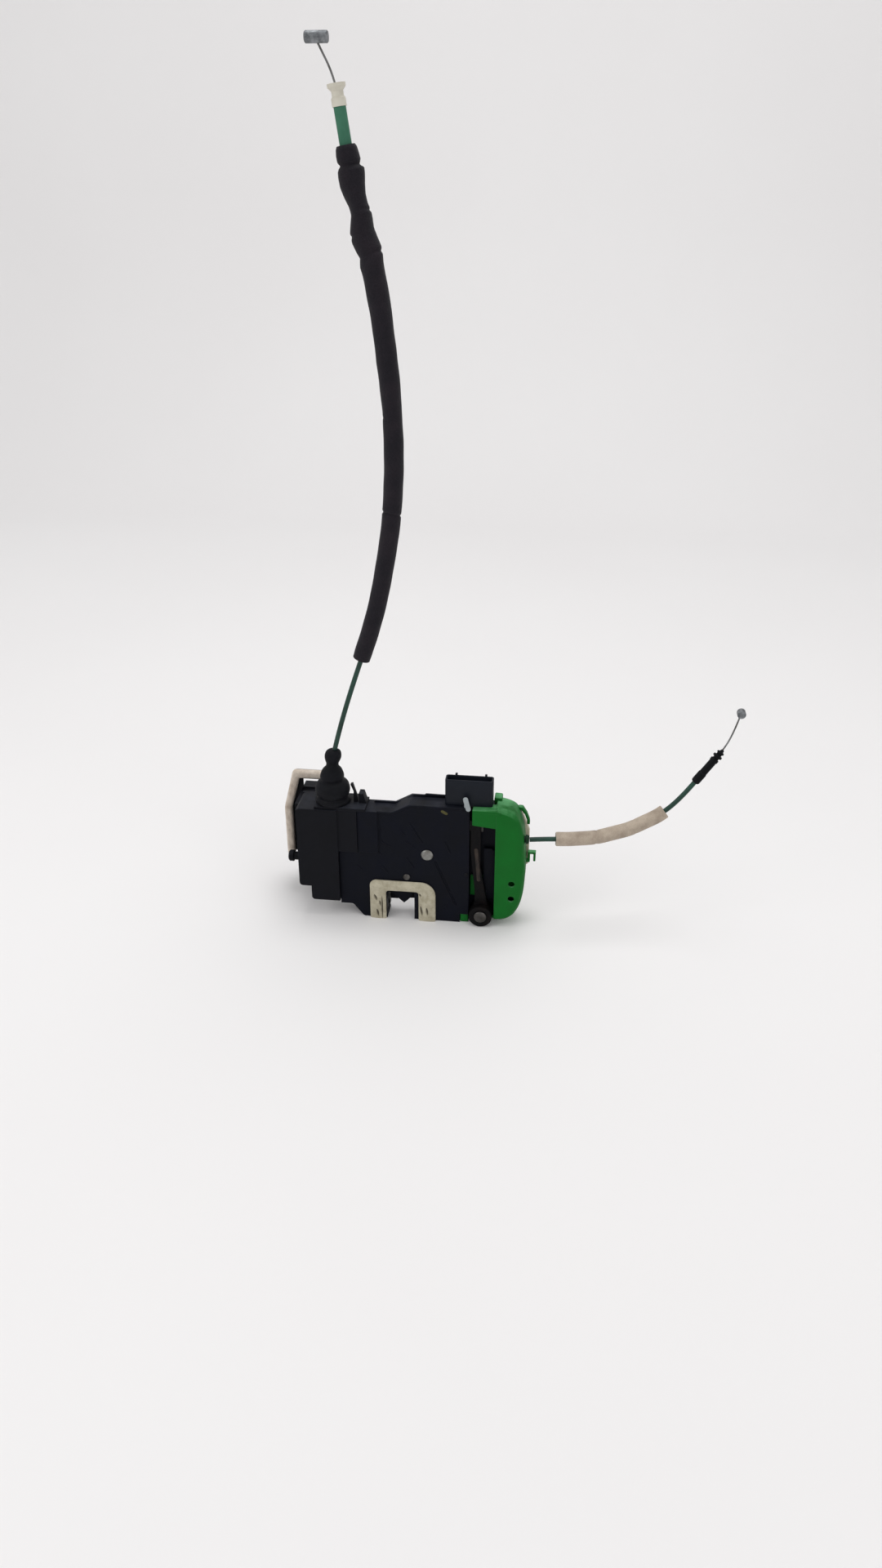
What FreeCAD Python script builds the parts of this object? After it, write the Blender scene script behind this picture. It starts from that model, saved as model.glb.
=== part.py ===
import FreeCAD, Part
import Sketcher

import math
import os
from types import SimpleNamespace

# A car door lock with two pull cables, standing on its lower edge as it lies on a bench.
# X runs along the lock towards the short cable, Y from the seal face to the bolting face, Z up.
# The origin is the middle of the striker slot's mouth, on the seal face, at the base.
# Lengths are millimetres and angles degrees.

DRIVING = dict(
    # moulded latch case
    caseLeft=-45.1, caseRight=50.5, caseTop=97.0, caseShoulder=90.2, caseDepth=15.0,
    notchLeft=44.0, notchTop=7.2,
    humpLeft=-5.0, humpRight=7.0, heelLeft=-36.0, heelRight=-28.0, heelHeight=10.2,
    faceWall=2.5, sideWall=2.2, caseEdgeRound=2.5,
    slotHalf=10.2, slotTop=26.2, mouthDepth=4.5, slotRound=3.0,
    postAcross=4.7, postUp=36.4, postRadius=2.6, panelRaise=1.2, panelRight=-16.0,
    bossRadius=6.5, bossGap=0.3, ribThick=1.6,
    # ledge of the case, behind the outside lever and the end cover
    ledgeNear=8.0, ledgeFar=20.2, ledgeInset=4.0, ledgeBottom=3.0, ledgeTop=94.0,
    # steel frame plate and plastic back cover
    plateThick=3.0, plateTop=62.0, plateInset=0.6, plateCorner=8.0,
    threadRadius=2.5, boltLeft=-32.0, boltRight=38.0, boltLow=14.0, boltHigh=46.0,
    coverThick=2.5, coverGap=0.3,
    # fork and pawl
    forkAcross=-15.9, forkUp=30.0, forkNear=7.5, leafThick=5.0, forkReach=27.2, forkHub=16.5,
    forkRim=20.0, seatAcross=16.0, seatDown=10.0, throatHalf=5.8, forkOpening=42.0,
    pawlAcross=19.9, pawlUp=56.4, pawlHub=7.0, pawlArm=23.6, pawlPin=2.0,
    tipAcross=-34.0, tipDown=5.9, forkPin=4.0, pawlShank=3.5, running=0.05,
    rivetHead=4.4, rivetHeadRise=1.2, shoulderGrow=1.8, tailGrow=1.5, tailRise=1.5,
    forkSpringRadius=7.6, forkSpringWire=0.7, pawlSpringRadius=7.4, pawlSpringWire=0.5, springLift=1.4,
    # release link
    linkNear=5.3, linkThick=1.7, linkHalf=2.5, eyeHalf=5.4, eyeSlack=0.7, eyeDrop=1.5,
    # outside lever
    leverAcross=59.6, leverUp=8.8, leverBoss=8.5, leverNear=1.0, leverThick=3.5, leverArmWide=7.4,
    leverTop=88.0, leverFront=-4.5, leverPin=3.0, leverEyeAcross=55.0, leverHeadRise=1.2,
    # cable box and inside lever
    boxLeft=-75.4, boxTop=90.2, boxBottom=25.3, stepLeft=-66.6, stepBottom=13.6, boxFront=-3.0,
    boxBack=22.5, wingRight=-31.0, wingBottom=56.0, wingFront=-2.0,
    joinGap=0.2,
    inLeverAcross=-66.0, inLeverUp=72.0, inLeverArm=18.2, inLeverTilt=-18.0, inLeverPin=2.5,
    inLeverHub=6.0, cableAcross=-47.8, cableDeep=10.0,
    # side housing behind the cable box, with the lock drive
    sideLeft=-82.0, sideRight=-58.0, sideBack=58.0, sideBottom=22.0, sideTop=80.0, sideShell=2.0,
    flangeNear=47.0, flangeThick=2.0, flangeLeft=-94.0, flangeRight=-56.0, flangeTop=95.5,
    flangeBottom=25.0, footLeft=-80.0, footRight=-58.0, padDeep=6.0, padWide=6.0, padGrow=1.5,
    motorAcross=-70.0, motorDeep=44.0, motorLong=25.0, motorRadius=10.0, motorFlat=7.5,
    keyDeep=32.0, keyUp=29.0, shaftRadius=1.0, wormRadius=3.2, wormLong=15.0, wheelDrop=11.0,
    wheelUp=58.5, wheelRadius=7.6,
    wheelWide=6.0, axleRadius=1.5, lockArm=11.5,
    # end cover, its pad and the short cable's gland
    endLeft=69.4, endRight=90.6, endFront=-2.5, endBack=22.0, endShell=1.8, armLeft=52.6,
    armBottom=84.5, armTop=96.8, endBottom=5.0, holeInset=8.8, holeHigh=37.4, holeLow=24.7,
    holeRadius=2.5, webGap=0.3, webLow=21.0, webHigh=38.0, bumpNear=13.0, bumpTop=100.0, bumpWide=3.2,
    endPadDeep=4.0, endPadLeft=62.0, endPadOver=2.0, endPadLow=40.0, endPadHigh=84.0,
    glandReach=2.6, glandDeep=5.0, glandUp=71.8, glandRadius=3.6, glandNeck=1.7,
    # connector socket
    socketLeft=32.5, socketRight=66.6, socketTop=124.0, socketNear=2.0, socketInset=1.6,
    socketWall=1.7, socketFloor=4.0, pinHalf=0.4, pinPitch=4.2, pinTall=13.0,
    clipLeft=45.4, clipRight=50.8, clipThick=1.6, clipTall=9.0,
    # slot seal and striker buffer
    sealThick=2.5, sealLeft=-22.9, sealRight=26.1, sealTop=33.0, sealSlot=14.1, sealSlotTop=23.8,
    sealRoundLeft=5.0, sealRoundRight=11.0,
    # boot of the long cable
    bootFoot=90.2, bootBase=13.0, bootTop=132.7, bracketThick=2.0, postRight=-24.6,
    # cables
    conduitRadius=1.75, sleeveRadius=6.2, shortSleeveRadius=5.7, sleeveSlack=0.3,
    fittingRadius=3.5, fittingLong=20.6, collarLong=11.7, collarRadius=4.1, collarFlare=5.2,
    wireRadius=0.65, boreRadius=0.95, collarBore=1.4, wireHidden=20.0, ferruleLong=29.4, ferruleRadius=2.3,
    nippleRadius=3.1, nippleLong=13.0, ballRadius=3.0,
)

# points of each cable's route, chosen along its real line
LONG_ROUTE = [(-47.0, 10, 133.2), (-42.0, 10, 152.5), (-32.3, 10, 183.5), (-18.8, 10, 222.5),
              (-8.1, 10, 265), (-1.6, 10, 308), (0.3, 10, 350), (-1.4, 10, 392), (-7.2, 10, 433),
              (-16.7, 10, 469), (-21.0, 10, 489.5), (-24.4, 10, 508.2)]
SHORT_ROUTE = [(93.5, 5, 71.8), (103, 5.4, 72.7), (121.2, 7.6, 72.6), (141, 12, 72.8),
               (161, 17.2, 77.2), (179.5, 22, 84.6), (196.5, 26.5, 97.2), (207.6, 30, 112.6)]
LONG_TIP = [(-29.2, 10, 540.7), (-38.2, 10, 558.6)]
SHORT_TIP = [(224.4, 34, 136.0), (229.9, 35.2, 147.0), (234.0, 36.6, 161.3)]


class Size:
    """A number together with the expression over the sheet that gives it."""

    def __init__(self, number, text):
        self.number = number
        self.text = text

    def __add__(self, other):
        other = sized(other)
        return Size(self.number + other.number, f"({self.text} + {other.text})")

    def __radd__(self, other):
        return sized(other) + self

    def __sub__(self, other):
        other = sized(other)
        return Size(self.number - other.number, f"({self.text} - {other.text})")

    def __rsub__(self, other):
        return sized(other) - self

    def __mul__(self, other):
        other = sized(other)
        return Size(self.number * other.number, f"({self.text} * {other.text})")

    def __rmul__(self, other):
        return sized(other) * self

    def __neg__(self):
        return Size(-self.number, f"(0 - {self.text})")


def sized(value):
    return value if isinstance(value, Size) else Size(float(value), f"{float(value):.6f}")


doc = FreeCAD.newDocument("DoorLock")
sheet = doc.addObject("Spreadsheet::Sheet", "Sizes")
for row, (name, number) in enumerate(DRIVING.items(), 1):
    sheet.set(f"A{row}", name)
    sheet.set(f"B{row}", str(number))
    sheet.setAlias(f"B{row}", name)
doc.recompute()
v = SimpleNamespace(**{name: Size(float(number), "Sizes." + name) for name, number in DRIVING.items()})

subparts = []


def bind(item, prop, value):
    item.setExpression(prop, sized(value).text)


def keep(item, label):
    item.Label = label
    subparts.append(item)
    return item


# part design bodies

def newBody(label):
    return keep(doc.addObject("PartDesign::Body", "Body"), label)


def newSketch(body, plane, offset=(0, 0, 0)):
    sketch = body.newObject("Sketcher::SketchObject", "Sketch")
    face = [item for item in body.Origin.OriginFeatures if item.Role == plane + "_Plane"][0]
    sketch.AttachmentSupport = [(face, "")]
    sketch.MapMode = "FlatFace"
    for axis, value in zip("xyz", offset):
        bind(sketch, "AttachmentOffset.Base." + axis, value)
    return sketch


def drawOutline(sketch, corners):
    corners = [(sized(a), sized(b)) for a, b in corners]
    points = [FreeCAD.Vector(a.number, b.number, 0) for a, b in corners]
    first = sketch.GeometryCount
    for index, point in enumerate(points):
        sketch.addGeometry(Part.LineSegment(point, points[(index + 1) % len(points)]), False)
    for index, corner in enumerate(corners):
        following = (index + 1) % len(points)
        sketch.addConstraint(Sketcher.Constraint("Coincident", first + index, 2, first + following, 1))
        for kind, value in zip(("DistanceX", "DistanceY"), corner):
            number = sketch.addConstraint(Sketcher.Constraint(kind, -1, 1, first + index, 1, value.number))
            sketch.setExpression(f"Constraints[{number}]", value.text)


def drawCircle(sketch, across, up, radius):
    across, up, radius = sized(across), sized(up), sized(radius)
    centre = FreeCAD.Vector(across.number, up.number, 0)
    index = sketch.addGeometry(Part.Circle(centre, FreeCAD.Vector(0, 0, 1), radius.number), False)
    for kind, value in (("DistanceX", across), ("DistanceY", up)):
        number = sketch.addConstraint(Sketcher.Constraint(kind, -1, 1, index, 3, value.number))
        sketch.setExpression(f"Constraints[{number}]", value.text)
    number = sketch.addConstraint(Sketcher.Constraint("Radius", index, radius.number))
    sketch.setExpression(f"Constraints[{number}]", radius.text)


def draw(sketch, shapes):
    for shape in shapes:
        if isinstance(shape[0], tuple):
            drawOutline(sketch, shape)
        else:
            drawCircle(sketch, *shape)


def pad(body, plane, low, high, *shapes):
    low, high = sized(low), sized(high)
    sketch = newSketch(body, plane, (0, 0, -high if plane == "XZ" else low))
    draw(sketch, shapes)
    feature = body.newObject("PartDesign::Pad", "Pad")
    feature.Profile = sketch
    bind(feature, "Length", high - low)
    doc.recompute()
    return feature


def pocket(body, plane, low, high, *shapes):
    before = body.Shape.Volume
    low, high = sized(low), sized(high)
    sketch = newSketch(body, plane, (0, 0, -low if plane == "XZ" else high))
    draw(sketch, shapes)
    feature = body.newObject("PartDesign::Pocket", "Pocket")
    feature.Profile = sketch
    bind(feature, "Length", high - low)
    doc.recompute()
    if not body.Shape.Volume < before - 1e-3:
        raise RuntimeError(f"a pocket in {body.Label} removes nothing")
    return feature


def edgesAlong(shape, axis, places):
    across = [index for index in range(3) if index != "XYZ".index(axis)]
    names = []
    for number, edge in enumerate(shape.Edges, 1):
        if edge.Curve.TypeId != "Part::GeomLine" or len(edge.Vertexes) != 2:
            continue
        ends = [vertex.Point for vertex in edge.Vertexes]
        for place in places:
            target = [sized(value).number for value in place]
            if all(abs(end[across[k]] - target[k]) < 0.02 for end in ends for k in (0, 1)):
                names.append(f"Edge{number}")
    return names


def roundEdges(body, axis, radius, *places, kind="Fillet"):
    base = body.Tip
    feature = body.newObject("PartDesign::" + kind, kind)
    feature.Base = (base, edgesAlong(base.Shape, axis, places))
    bind(feature, "Radius" if kind == "Fillet" else "Size", radius)
    doc.recompute()
    return feature


def turned(label, along, centre, profile):
    """A turned piece: its profile is (radius, height along the axis), counted from the centre."""
    body = newBody(label)
    across, deep, up = centre
    if along == "Z":
        sketch = newSketch(body, "XZ", (across, up, -sized(deep)))
    else:
        sketch = newSketch(body, "XY", (across, deep, up))
    if along == "X":
        profile = [(height, radius) for radius, height in profile]
    drawOutline(sketch, profile)
    feature = body.newObject("PartDesign::Revolution", "Revolution")
    feature.Profile = sketch
    feature.ReferenceAxis = (sketch, ["H_Axis" if along == "X" else "V_Axis"])
    feature.Angle = 360
    doc.recompute()
    return body


def rectangle(left, bottom, right, top):
    return [(left, bottom), (right, bottom), (right, top), (left, top)]


# part primitives and booleans

def block(left, right, near, far, bottom, top):
    item = doc.addObject("Part::Box", "Box")
    for prop, low, high in (("Length", left, right), ("Width", near, far), ("Height", bottom, top)):
        bind(item, prop, sized(high) - low)
    for axis, low in zip("xyz", (left, near, bottom)):
        bind(item, "Placement.Base." + axis, low)
    return item


TURNS = {"X": FreeCAD.Rotation(FreeCAD.Vector(0, 1, 0), 90),
         "Y": FreeCAD.Rotation(FreeCAD.Vector(1, 0, 0), -90),
         "Z": FreeCAD.Rotation()}


def rod(along, across, deep, up, radius, length):
    item = doc.addObject("Part::Cylinder", "Cylinder")
    item.Placement.Rotation = TURNS[along]
    bind(item, "Radius", radius)
    bind(item, "Height", length)
    for axis, low in zip("xyz", (across, deep, up)):
        bind(item, "Placement.Base." + axis, low)
    return item


def fuse(*items):
    item = doc.addObject("Part::MultiFuse", "Fusion")
    item.Shapes = list(items)
    item.Refine = True
    return item


def cut(base, *tools):
    item = doc.addObject("Part::Cut", "Cut")
    item.Base = base
    item.Tool = tools[0] if len(tools) == 1 else fuse(*tools)
    item.Refine = True
    return item


def solidFeature(label, shape):
    item = doc.addObject("Part::Feature", "Solid")
    item.Shape = shape
    return keep(item, label)


# the latch case

def caseOutline(inset):
    """The case seen from the seal face, drawn in by inset, with the striker slot left out."""
    return [(v.caseLeft + inset, v.heelHeight + inset), (v.heelLeft + inset * 0.4, v.heelHeight + inset),
            (v.heelRight + inset * 0.4, inset), (v.notchLeft - inset, inset),
            (v.notchLeft - inset, v.notchTop + inset), (v.caseRight - inset, v.notchTop + inset),
            (v.caseRight - inset, v.caseTop - inset), (v.humpRight + inset * 0.4, v.caseTop - inset),
            (v.humpLeft + inset * 0.4, v.caseShoulder - inset), (v.wingRight + v.joinGap + inset,
            v.caseShoulder - inset), (v.wingRight + v.joinGap + inset, v.wingBottom - v.joinGap - inset),
            (v.caseLeft + inset, v.wingBottom - v.joinGap - inset)]


def slotOutline(grow):
    return rectangle(-v.slotHalf - grow, -1, v.slotHalf + grow, v.slotTop + grow)


def latchCase():
    body = newBody("latch_case")
    pad(body, "XZ", 0, v.caseDepth, caseOutline(sized(0)))
    roundEdges(body, "Y", v.caseEdgeRound, (v.caseRight, v.caseTop), (v.humpRight, v.caseTop),
               (v.humpLeft, v.caseShoulder), (v.heelRight, 0), (v.heelLeft, v.heelHeight))
    pocket(body, "XZ", v.faceWall, v.caseDepth, caseOutline(v.sideWall))
    # the walls round the striker slot, cut away where the fork swings
    pad(body, "XZ", 0, v.mouthDepth, rectangle(-v.slotHalf - v.sideWall, 0, v.slotHalf + v.sideWall,
                                               v.slotTop + v.sideWall))
    pocket(body, "XZ", -0.5, v.caseDepth + 0.5, slotOutline(sized(0)))
    roundEdges(body, "Y", v.slotRound, (-v.slotHalf, v.slotTop), (v.slotHalf, v.slotTop))
    # bosses that carry the fork, the pawl and the spring post
    boss = v.forkNear - v.bossGap
    pad(body, "XZ", v.faceWall - 0.5, boss, (v.forkAcross, v.forkUp, v.bossRadius))
    pad(body, "XZ", v.faceWall - 0.5, boss, (v.pawlAcross, v.pawlUp, v.bossRadius))
    for across, up, radius in ((v.forkAcross, v.forkUp, v.forkPin), (v.pawlAcross, v.pawlUp, v.pawlShank)):
        pocket(body, "XZ", -0.5, boss + 0.5, (across, up, radius))
    pocket(body, "XZ", -0.5, v.faceWall + 0.5, (v.postAcross, v.postUp, v.postRadius))
    # the ledge behind the outside lever and inside the end cover
    pad(body, "XZ", v.ledgeNear, v.ledgeFar,
        rectangle(v.caseRight - 1, v.ledgeBottom, v.endLeft - 0.4, v.ledgeTop))
    pad(body, "XZ", v.ledgeNear, v.ledgeFar, endOutline(v.ledgeInset, v.endLeft - 1))
    pocket(body, "XZ", v.ledgeNear + v.faceWall, v.ledgeFar + 0.5,
           endOutline(v.ledgeInset + v.sideWall, v.leverAcross + v.leverBoss))
    pocket(body, "XZ", v.caseDepth, v.ledgeFar + 0.5,
           rectangle(v.caseRight - 2, -1, v.caseRight + 0.3, v.caseTop))
    pocket(body, "XZ", v.ledgeNear - 0.5, v.ledgeFar + 0.5, (v.leverAcross, v.leverUp, v.leverPin))
    # window for the release link
    link = v.pawlUp + v.pawlArm
    pocket(body, "YZ", v.caseRight - v.sideWall - 1, v.caseRight + 1,
           rectangle(v.linkNear - 0.5, link - 5.6, v.ledgeNear - 0.2, link + 5.6))
    # the raised panel that carries on from the cable box's wing
    pad(body, "XZ", -v.panelRaise, 0.2, rectangle(v.wingRight + v.joinGap, v.wingBottom, v.panelRight,
                                                  v.caseShoulder))
    return body


def framePlate():
    body = newBody("frame_plate")
    near, far = v.caseDepth, v.caseDepth + v.plateThick
    left, right = v.caseLeft + v.plateInset, v.caseRight - v.plateInset
    pad(body, "XZ", near, far, [
        (left, v.heelHeight + v.plateInset), (v.heelLeft, v.heelHeight + v.plateInset), (v.heelRight, 0.2),
        (-v.slotHalf - 2, 0.2), (-v.slotHalf, 3), (-v.slotHalf, v.slotTop), (v.slotHalf, v.slotTop),
        (v.slotHalf, 3), (v.slotHalf + 2, 0.2), (right, 0.2), (right, v.plateTop),
        (v.wingRight + v.joinGap, v.plateTop), (v.wingRight + v.joinGap, v.wingBottom - 1),
        (left, v.wingBottom - 1)])
    roundEdges(body, "Y", v.slotRound, (-v.slotHalf, v.slotTop), (v.slotHalf, v.slotTop))
    roundEdges(body, "Y", v.plateCorner, (right, 0.2), (right, v.plateTop))
    for across, up in ((v.boltLeft, v.boltHigh), (v.boltRight, v.boltHigh), (v.boltRight, v.boltLow)):
        pocket(body, "XZ", near - 0.5, far + 0.5, (across, up, v.threadRadius))
    for across, up, radius in ((v.forkAcross, v.forkUp, v.forkPin), (v.pawlAcross, v.pawlUp, v.pawlShank)):
        pocket(body, "XZ", near - 0.5, far + 0.5, (across, up, radius))
    return body


def caseCover():
    body = newBody("case_cover")
    near, far = v.caseDepth, v.caseDepth + v.coverThick
    bottom = v.plateTop + v.coverGap
    left = v.wingRight + v.joinGap
    pad(body, "XZ", near, far, [(left, bottom), (v.caseRight, bottom), (v.caseRight, v.caseTop),
                                (v.humpRight, v.caseTop), (v.humpLeft, v.caseShoulder),
                                (left, v.caseShoulder)])
    roundEdges(body, "Y", v.caseEdgeRound, (v.caseRight, v.caseTop))
    # stiffening ribs
    for across in (-24, -8, 8, 24, 40):
        pad(body, "XZ", far - 0.2, far + 1.2, rectangle(across, bottom + 3, across + v.ribThick,
                                                        v.caseShoulder - 4))
    return body


# fork, pawl and their pivots

def leaf(across, up, radius, turn=0.0, sweep=360.0):
    """A sector of the leaf's thickness about a pivot, from turn anticlockwise seen from the seal face."""
    item = rod("Y", across, v.forkNear, up, radius, v.leafThick)
    bind(item, "Angle", sweep)
    spin = FreeCAD.Rotation(FreeCAD.Vector(0, 1, 0), -(sized(turn).number + sized(sweep).number))
    item.Placement.Rotation = spin.multiply(TURNS["Y"])
    return item


def fork():
    # drawn closed, then turned open about its pivot
    near, far = v.forkNear, v.forkNear + v.leafThick
    seat = (v.forkAcross + v.seatAcross, v.forkUp - v.seatDown)
    outer = fuse(leaf(v.forkAcross, v.forkUp, v.forkHub), leaf(v.forkAcross, v.forkUp, v.forkReach, -78, 98),
                 leaf(v.forkAcross, v.forkUp, v.forkRim, 88, 14),
                 leaf(v.forkAcross, v.forkUp, v.forkRim, 110, 48))
    throat = fuse(block(seat[0], seat[0] + v.forkReach, near - 1, far + 1, seat[1] - v.throatHalf,
                        seat[1] + v.throatHalf),
                  rod("Y", seat[0], near - 1, seat[1], v.throatHalf, v.leafThick + 2))
    pivot = rod("Y", v.forkAcross, near - 1, v.forkUp, v.forkPin + v.running, v.leafThick + 2)
    closed = cut(outer, throat, pivot)
    doc.recompute()
    shape = closed.Shape.copy()
    centre = FreeCAD.Vector(v.forkAcross.number, 0, v.forkUp.number)
    shape.rotate(centre, FreeCAD.Vector(0, 1, 0), v.forkOpening.number)
    return solidFeature("fork_bolt", shape)


def pawl():
    body = newBody("pawl")
    near, far = v.forkNear, v.forkNear + v.leafThick
    tipX, tipZ = v.pawlAcross + v.tipAcross, v.pawlUp - v.tipDown
    pad(body, "XZ", near, far, [(tipX - 2.2, tipZ + 0.15), (tipX, tipZ), (tipX + 1.8, tipZ + 3.4),
                                (v.pawlAcross - 3, v.pawlUp - v.pawlHub + 0.6),
                                (v.pawlAcross, v.pawlUp + v.pawlHub - 0.3), (tipX - 2.6, tipZ + 6.0)])
    pad(body, "XZ", near, far, (v.pawlAcross, v.pawlUp, v.pawlHub))
    pad(body, "XZ", near, far, rectangle(v.pawlAcross - 3.2, v.pawlUp, v.pawlAcross + 3.2,
                                         v.pawlUp + v.pawlArm))
    pad(body, "XZ", near, far, (v.pawlAcross, v.pawlUp + v.pawlArm, 3.2))
    pad(body, "XZ", v.linkNear - 0.4, near + 0.5, (v.pawlAcross, v.pawlUp + v.pawlArm, v.pawlPin))
    pocket(body, "XZ", near - 0.5, far + 0.5, (v.pawlAcross, v.pawlUp, v.pawlShank + v.running))
    return body


def rivet(label, across, up, shank, headRadius, headRise):
    leafFar = v.forkNear + v.leafThick
    back = v.caseDepth + v.plateThick
    profile = [(0, -headRise), (headRadius - 0.8, -headRise), (headRadius, -headRise * 0.4), (headRadius, 0),
               (shank, 0), (shank, leafFar + v.bossGap), (shank + v.shoulderGrow, leafFar + v.bossGap),
               (shank + v.shoulderGrow, v.caseDepth), (shank, v.caseDepth), (shank, back),
               (shank + v.tailGrow, back), (shank + v.tailGrow - 0.6, back + v.tailRise),
               (0, back + v.tailRise)]
    if sized(headRise).number == 0:
        profile = [(0, 0)] + profile[4:]
    return turned(label, "Y", (across, 0, up), profile)


def springPost():
    radius = v.postRadius
    return turned("spring_post", "Y", (v.postAcross, 0, v.postUp),
                  [(0, -0.8), (radius - 0.5, -0.8), (radius, -0.3), (radius, v.faceWall),
                   (radius - 0.6, v.faceWall), (radius - 0.6, v.forkNear - 0.8), (0, v.forkNear - 0.8)])


def ringSpring(label, across, up, radius, wire, turn, sweep, legs):
    """An open turn of wire about an axis along Y, with a straight leg at each end."""
    radius, near = radius.number, (v.faceWall + v.springLift).number

    def spot(angle, reach, side=0.0):
        angle = math.radians(angle + turn)
        return FreeCAD.Vector(reach * math.cos(angle) - side * math.sin(angle), 0,
                              reach * math.sin(angle) + side * math.cos(angle))

    first, last = spot(0, radius), spot(sweep, radius)
    path = Part.Wire([Part.LineSegment(spot(0, radius, -legs[0]), first).toShape(),
                      Part.Arc(first, spot(sweep / 2, radius), last).toShape(),
                      Part.LineSegment(last, spot(sweep, radius, legs[1])).toShape()])
    shape = tube(path, wire.number)
    shape.translate(FreeCAD.Vector(across.number, near, up.number))
    return solidFeature(label, shape)


# outside lever, its link and the end cover

def outsideLever():
    body = newBody("outside_lever")
    near, far = v.leverNear, v.leverNear + v.leverThick
    left = v.caseRight + 0.8
    right = left + v.leverArmWide
    pad(body, "XZ", near, far,
        [(v.leverAcross - v.leverBoss + 2.5, v.leverUp + 2), (v.leverAcross - 4.6, 20),
         (v.leverAcross - 4.8, 30), (left, 62), (left, v.leverTop - 2), (left + 2, v.leverTop),
         (right - 1, v.leverTop), (right, v.leverTop - 3), (right, 48),
         (v.leverAcross + v.leverBoss - 3, v.leverUp + 2)])
    pad(body, "XZ", v.leverFront, v.ledgeNear - v.bossGap, (v.leverAcross, v.leverUp, v.leverBoss))
    # pin that draws the release link
    pad(body, "XZ", far - 0.5, v.linkNear + v.linkThick + 0.4,
        (v.leverEyeAcross, v.pawlUp + v.pawlArm, v.pawlPin))
    pocket(body, "XZ", v.leverFront - 0.5, v.ledgeNear, (v.leverAcross, v.leverUp, v.leverPin + v.running))
    return body


def leverPin():
    return turned("outside_lever_pin", "Y", (v.leverAcross, 0, v.leverUp),
                  [(0, v.leverFront - v.leverHeadRise), (4.0, v.leverFront - v.leverHeadRise),
                   (4.6, v.leverFront - 0.7), (4.6, v.leverFront - 0.3), (v.leverPin, v.leverFront - 0.3),
                   (v.leverPin, v.ledgeFar), (0, v.ledgeFar)])


def releaseLink():
    body = newBody("release_link")
    near, far = v.linkNear, v.linkNear + v.linkThick
    up = v.pawlUp + v.pawlArm
    pad(body, "XZ", near, far, rectangle(v.pawlAcross, up - v.linkHalf, v.leverEyeAcross, up + v.linkHalf))
    for across, drop in ((v.pawlAcross, v.eyeDrop), (v.leverEyeAcross, v.eyeSlack * 0.4)):
        pad(body, "XZ", near, far, rectangle(across - v.eyeHalf + 0.4, up - v.eyeHalf - drop + 1.4,
                                             across + v.eyeHalf - 0.4, up + v.eyeHalf - 1.4))
        half = v.pawlPin + v.eyeSlack
        pocket(body, "XZ", near - 0.5, far + 0.5,
               rectangle(across - half, up - v.pawlPin - drop - 0.3, across + half, up + v.pawlPin + 0.3))
    return body


def endOutline(inset, left):
    right, low, high = v.endRight, v.endBottom, v.armTop
    return [(left, low + inset), (right - 12.5, low + 3 + inset), (right - 5.5 - inset, low + 10.7 + inset),
            (right - inset, low + 29), (right - 1.8 - inset, high - 22.8),
            (right - 4.6 - inset, high - 6.8 - inset), (right - 9.1 - inset, high - 2.6 - inset),
            (right - 15.6, high - 0.8 - inset), (left, high + 0.9 - inset)]


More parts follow.
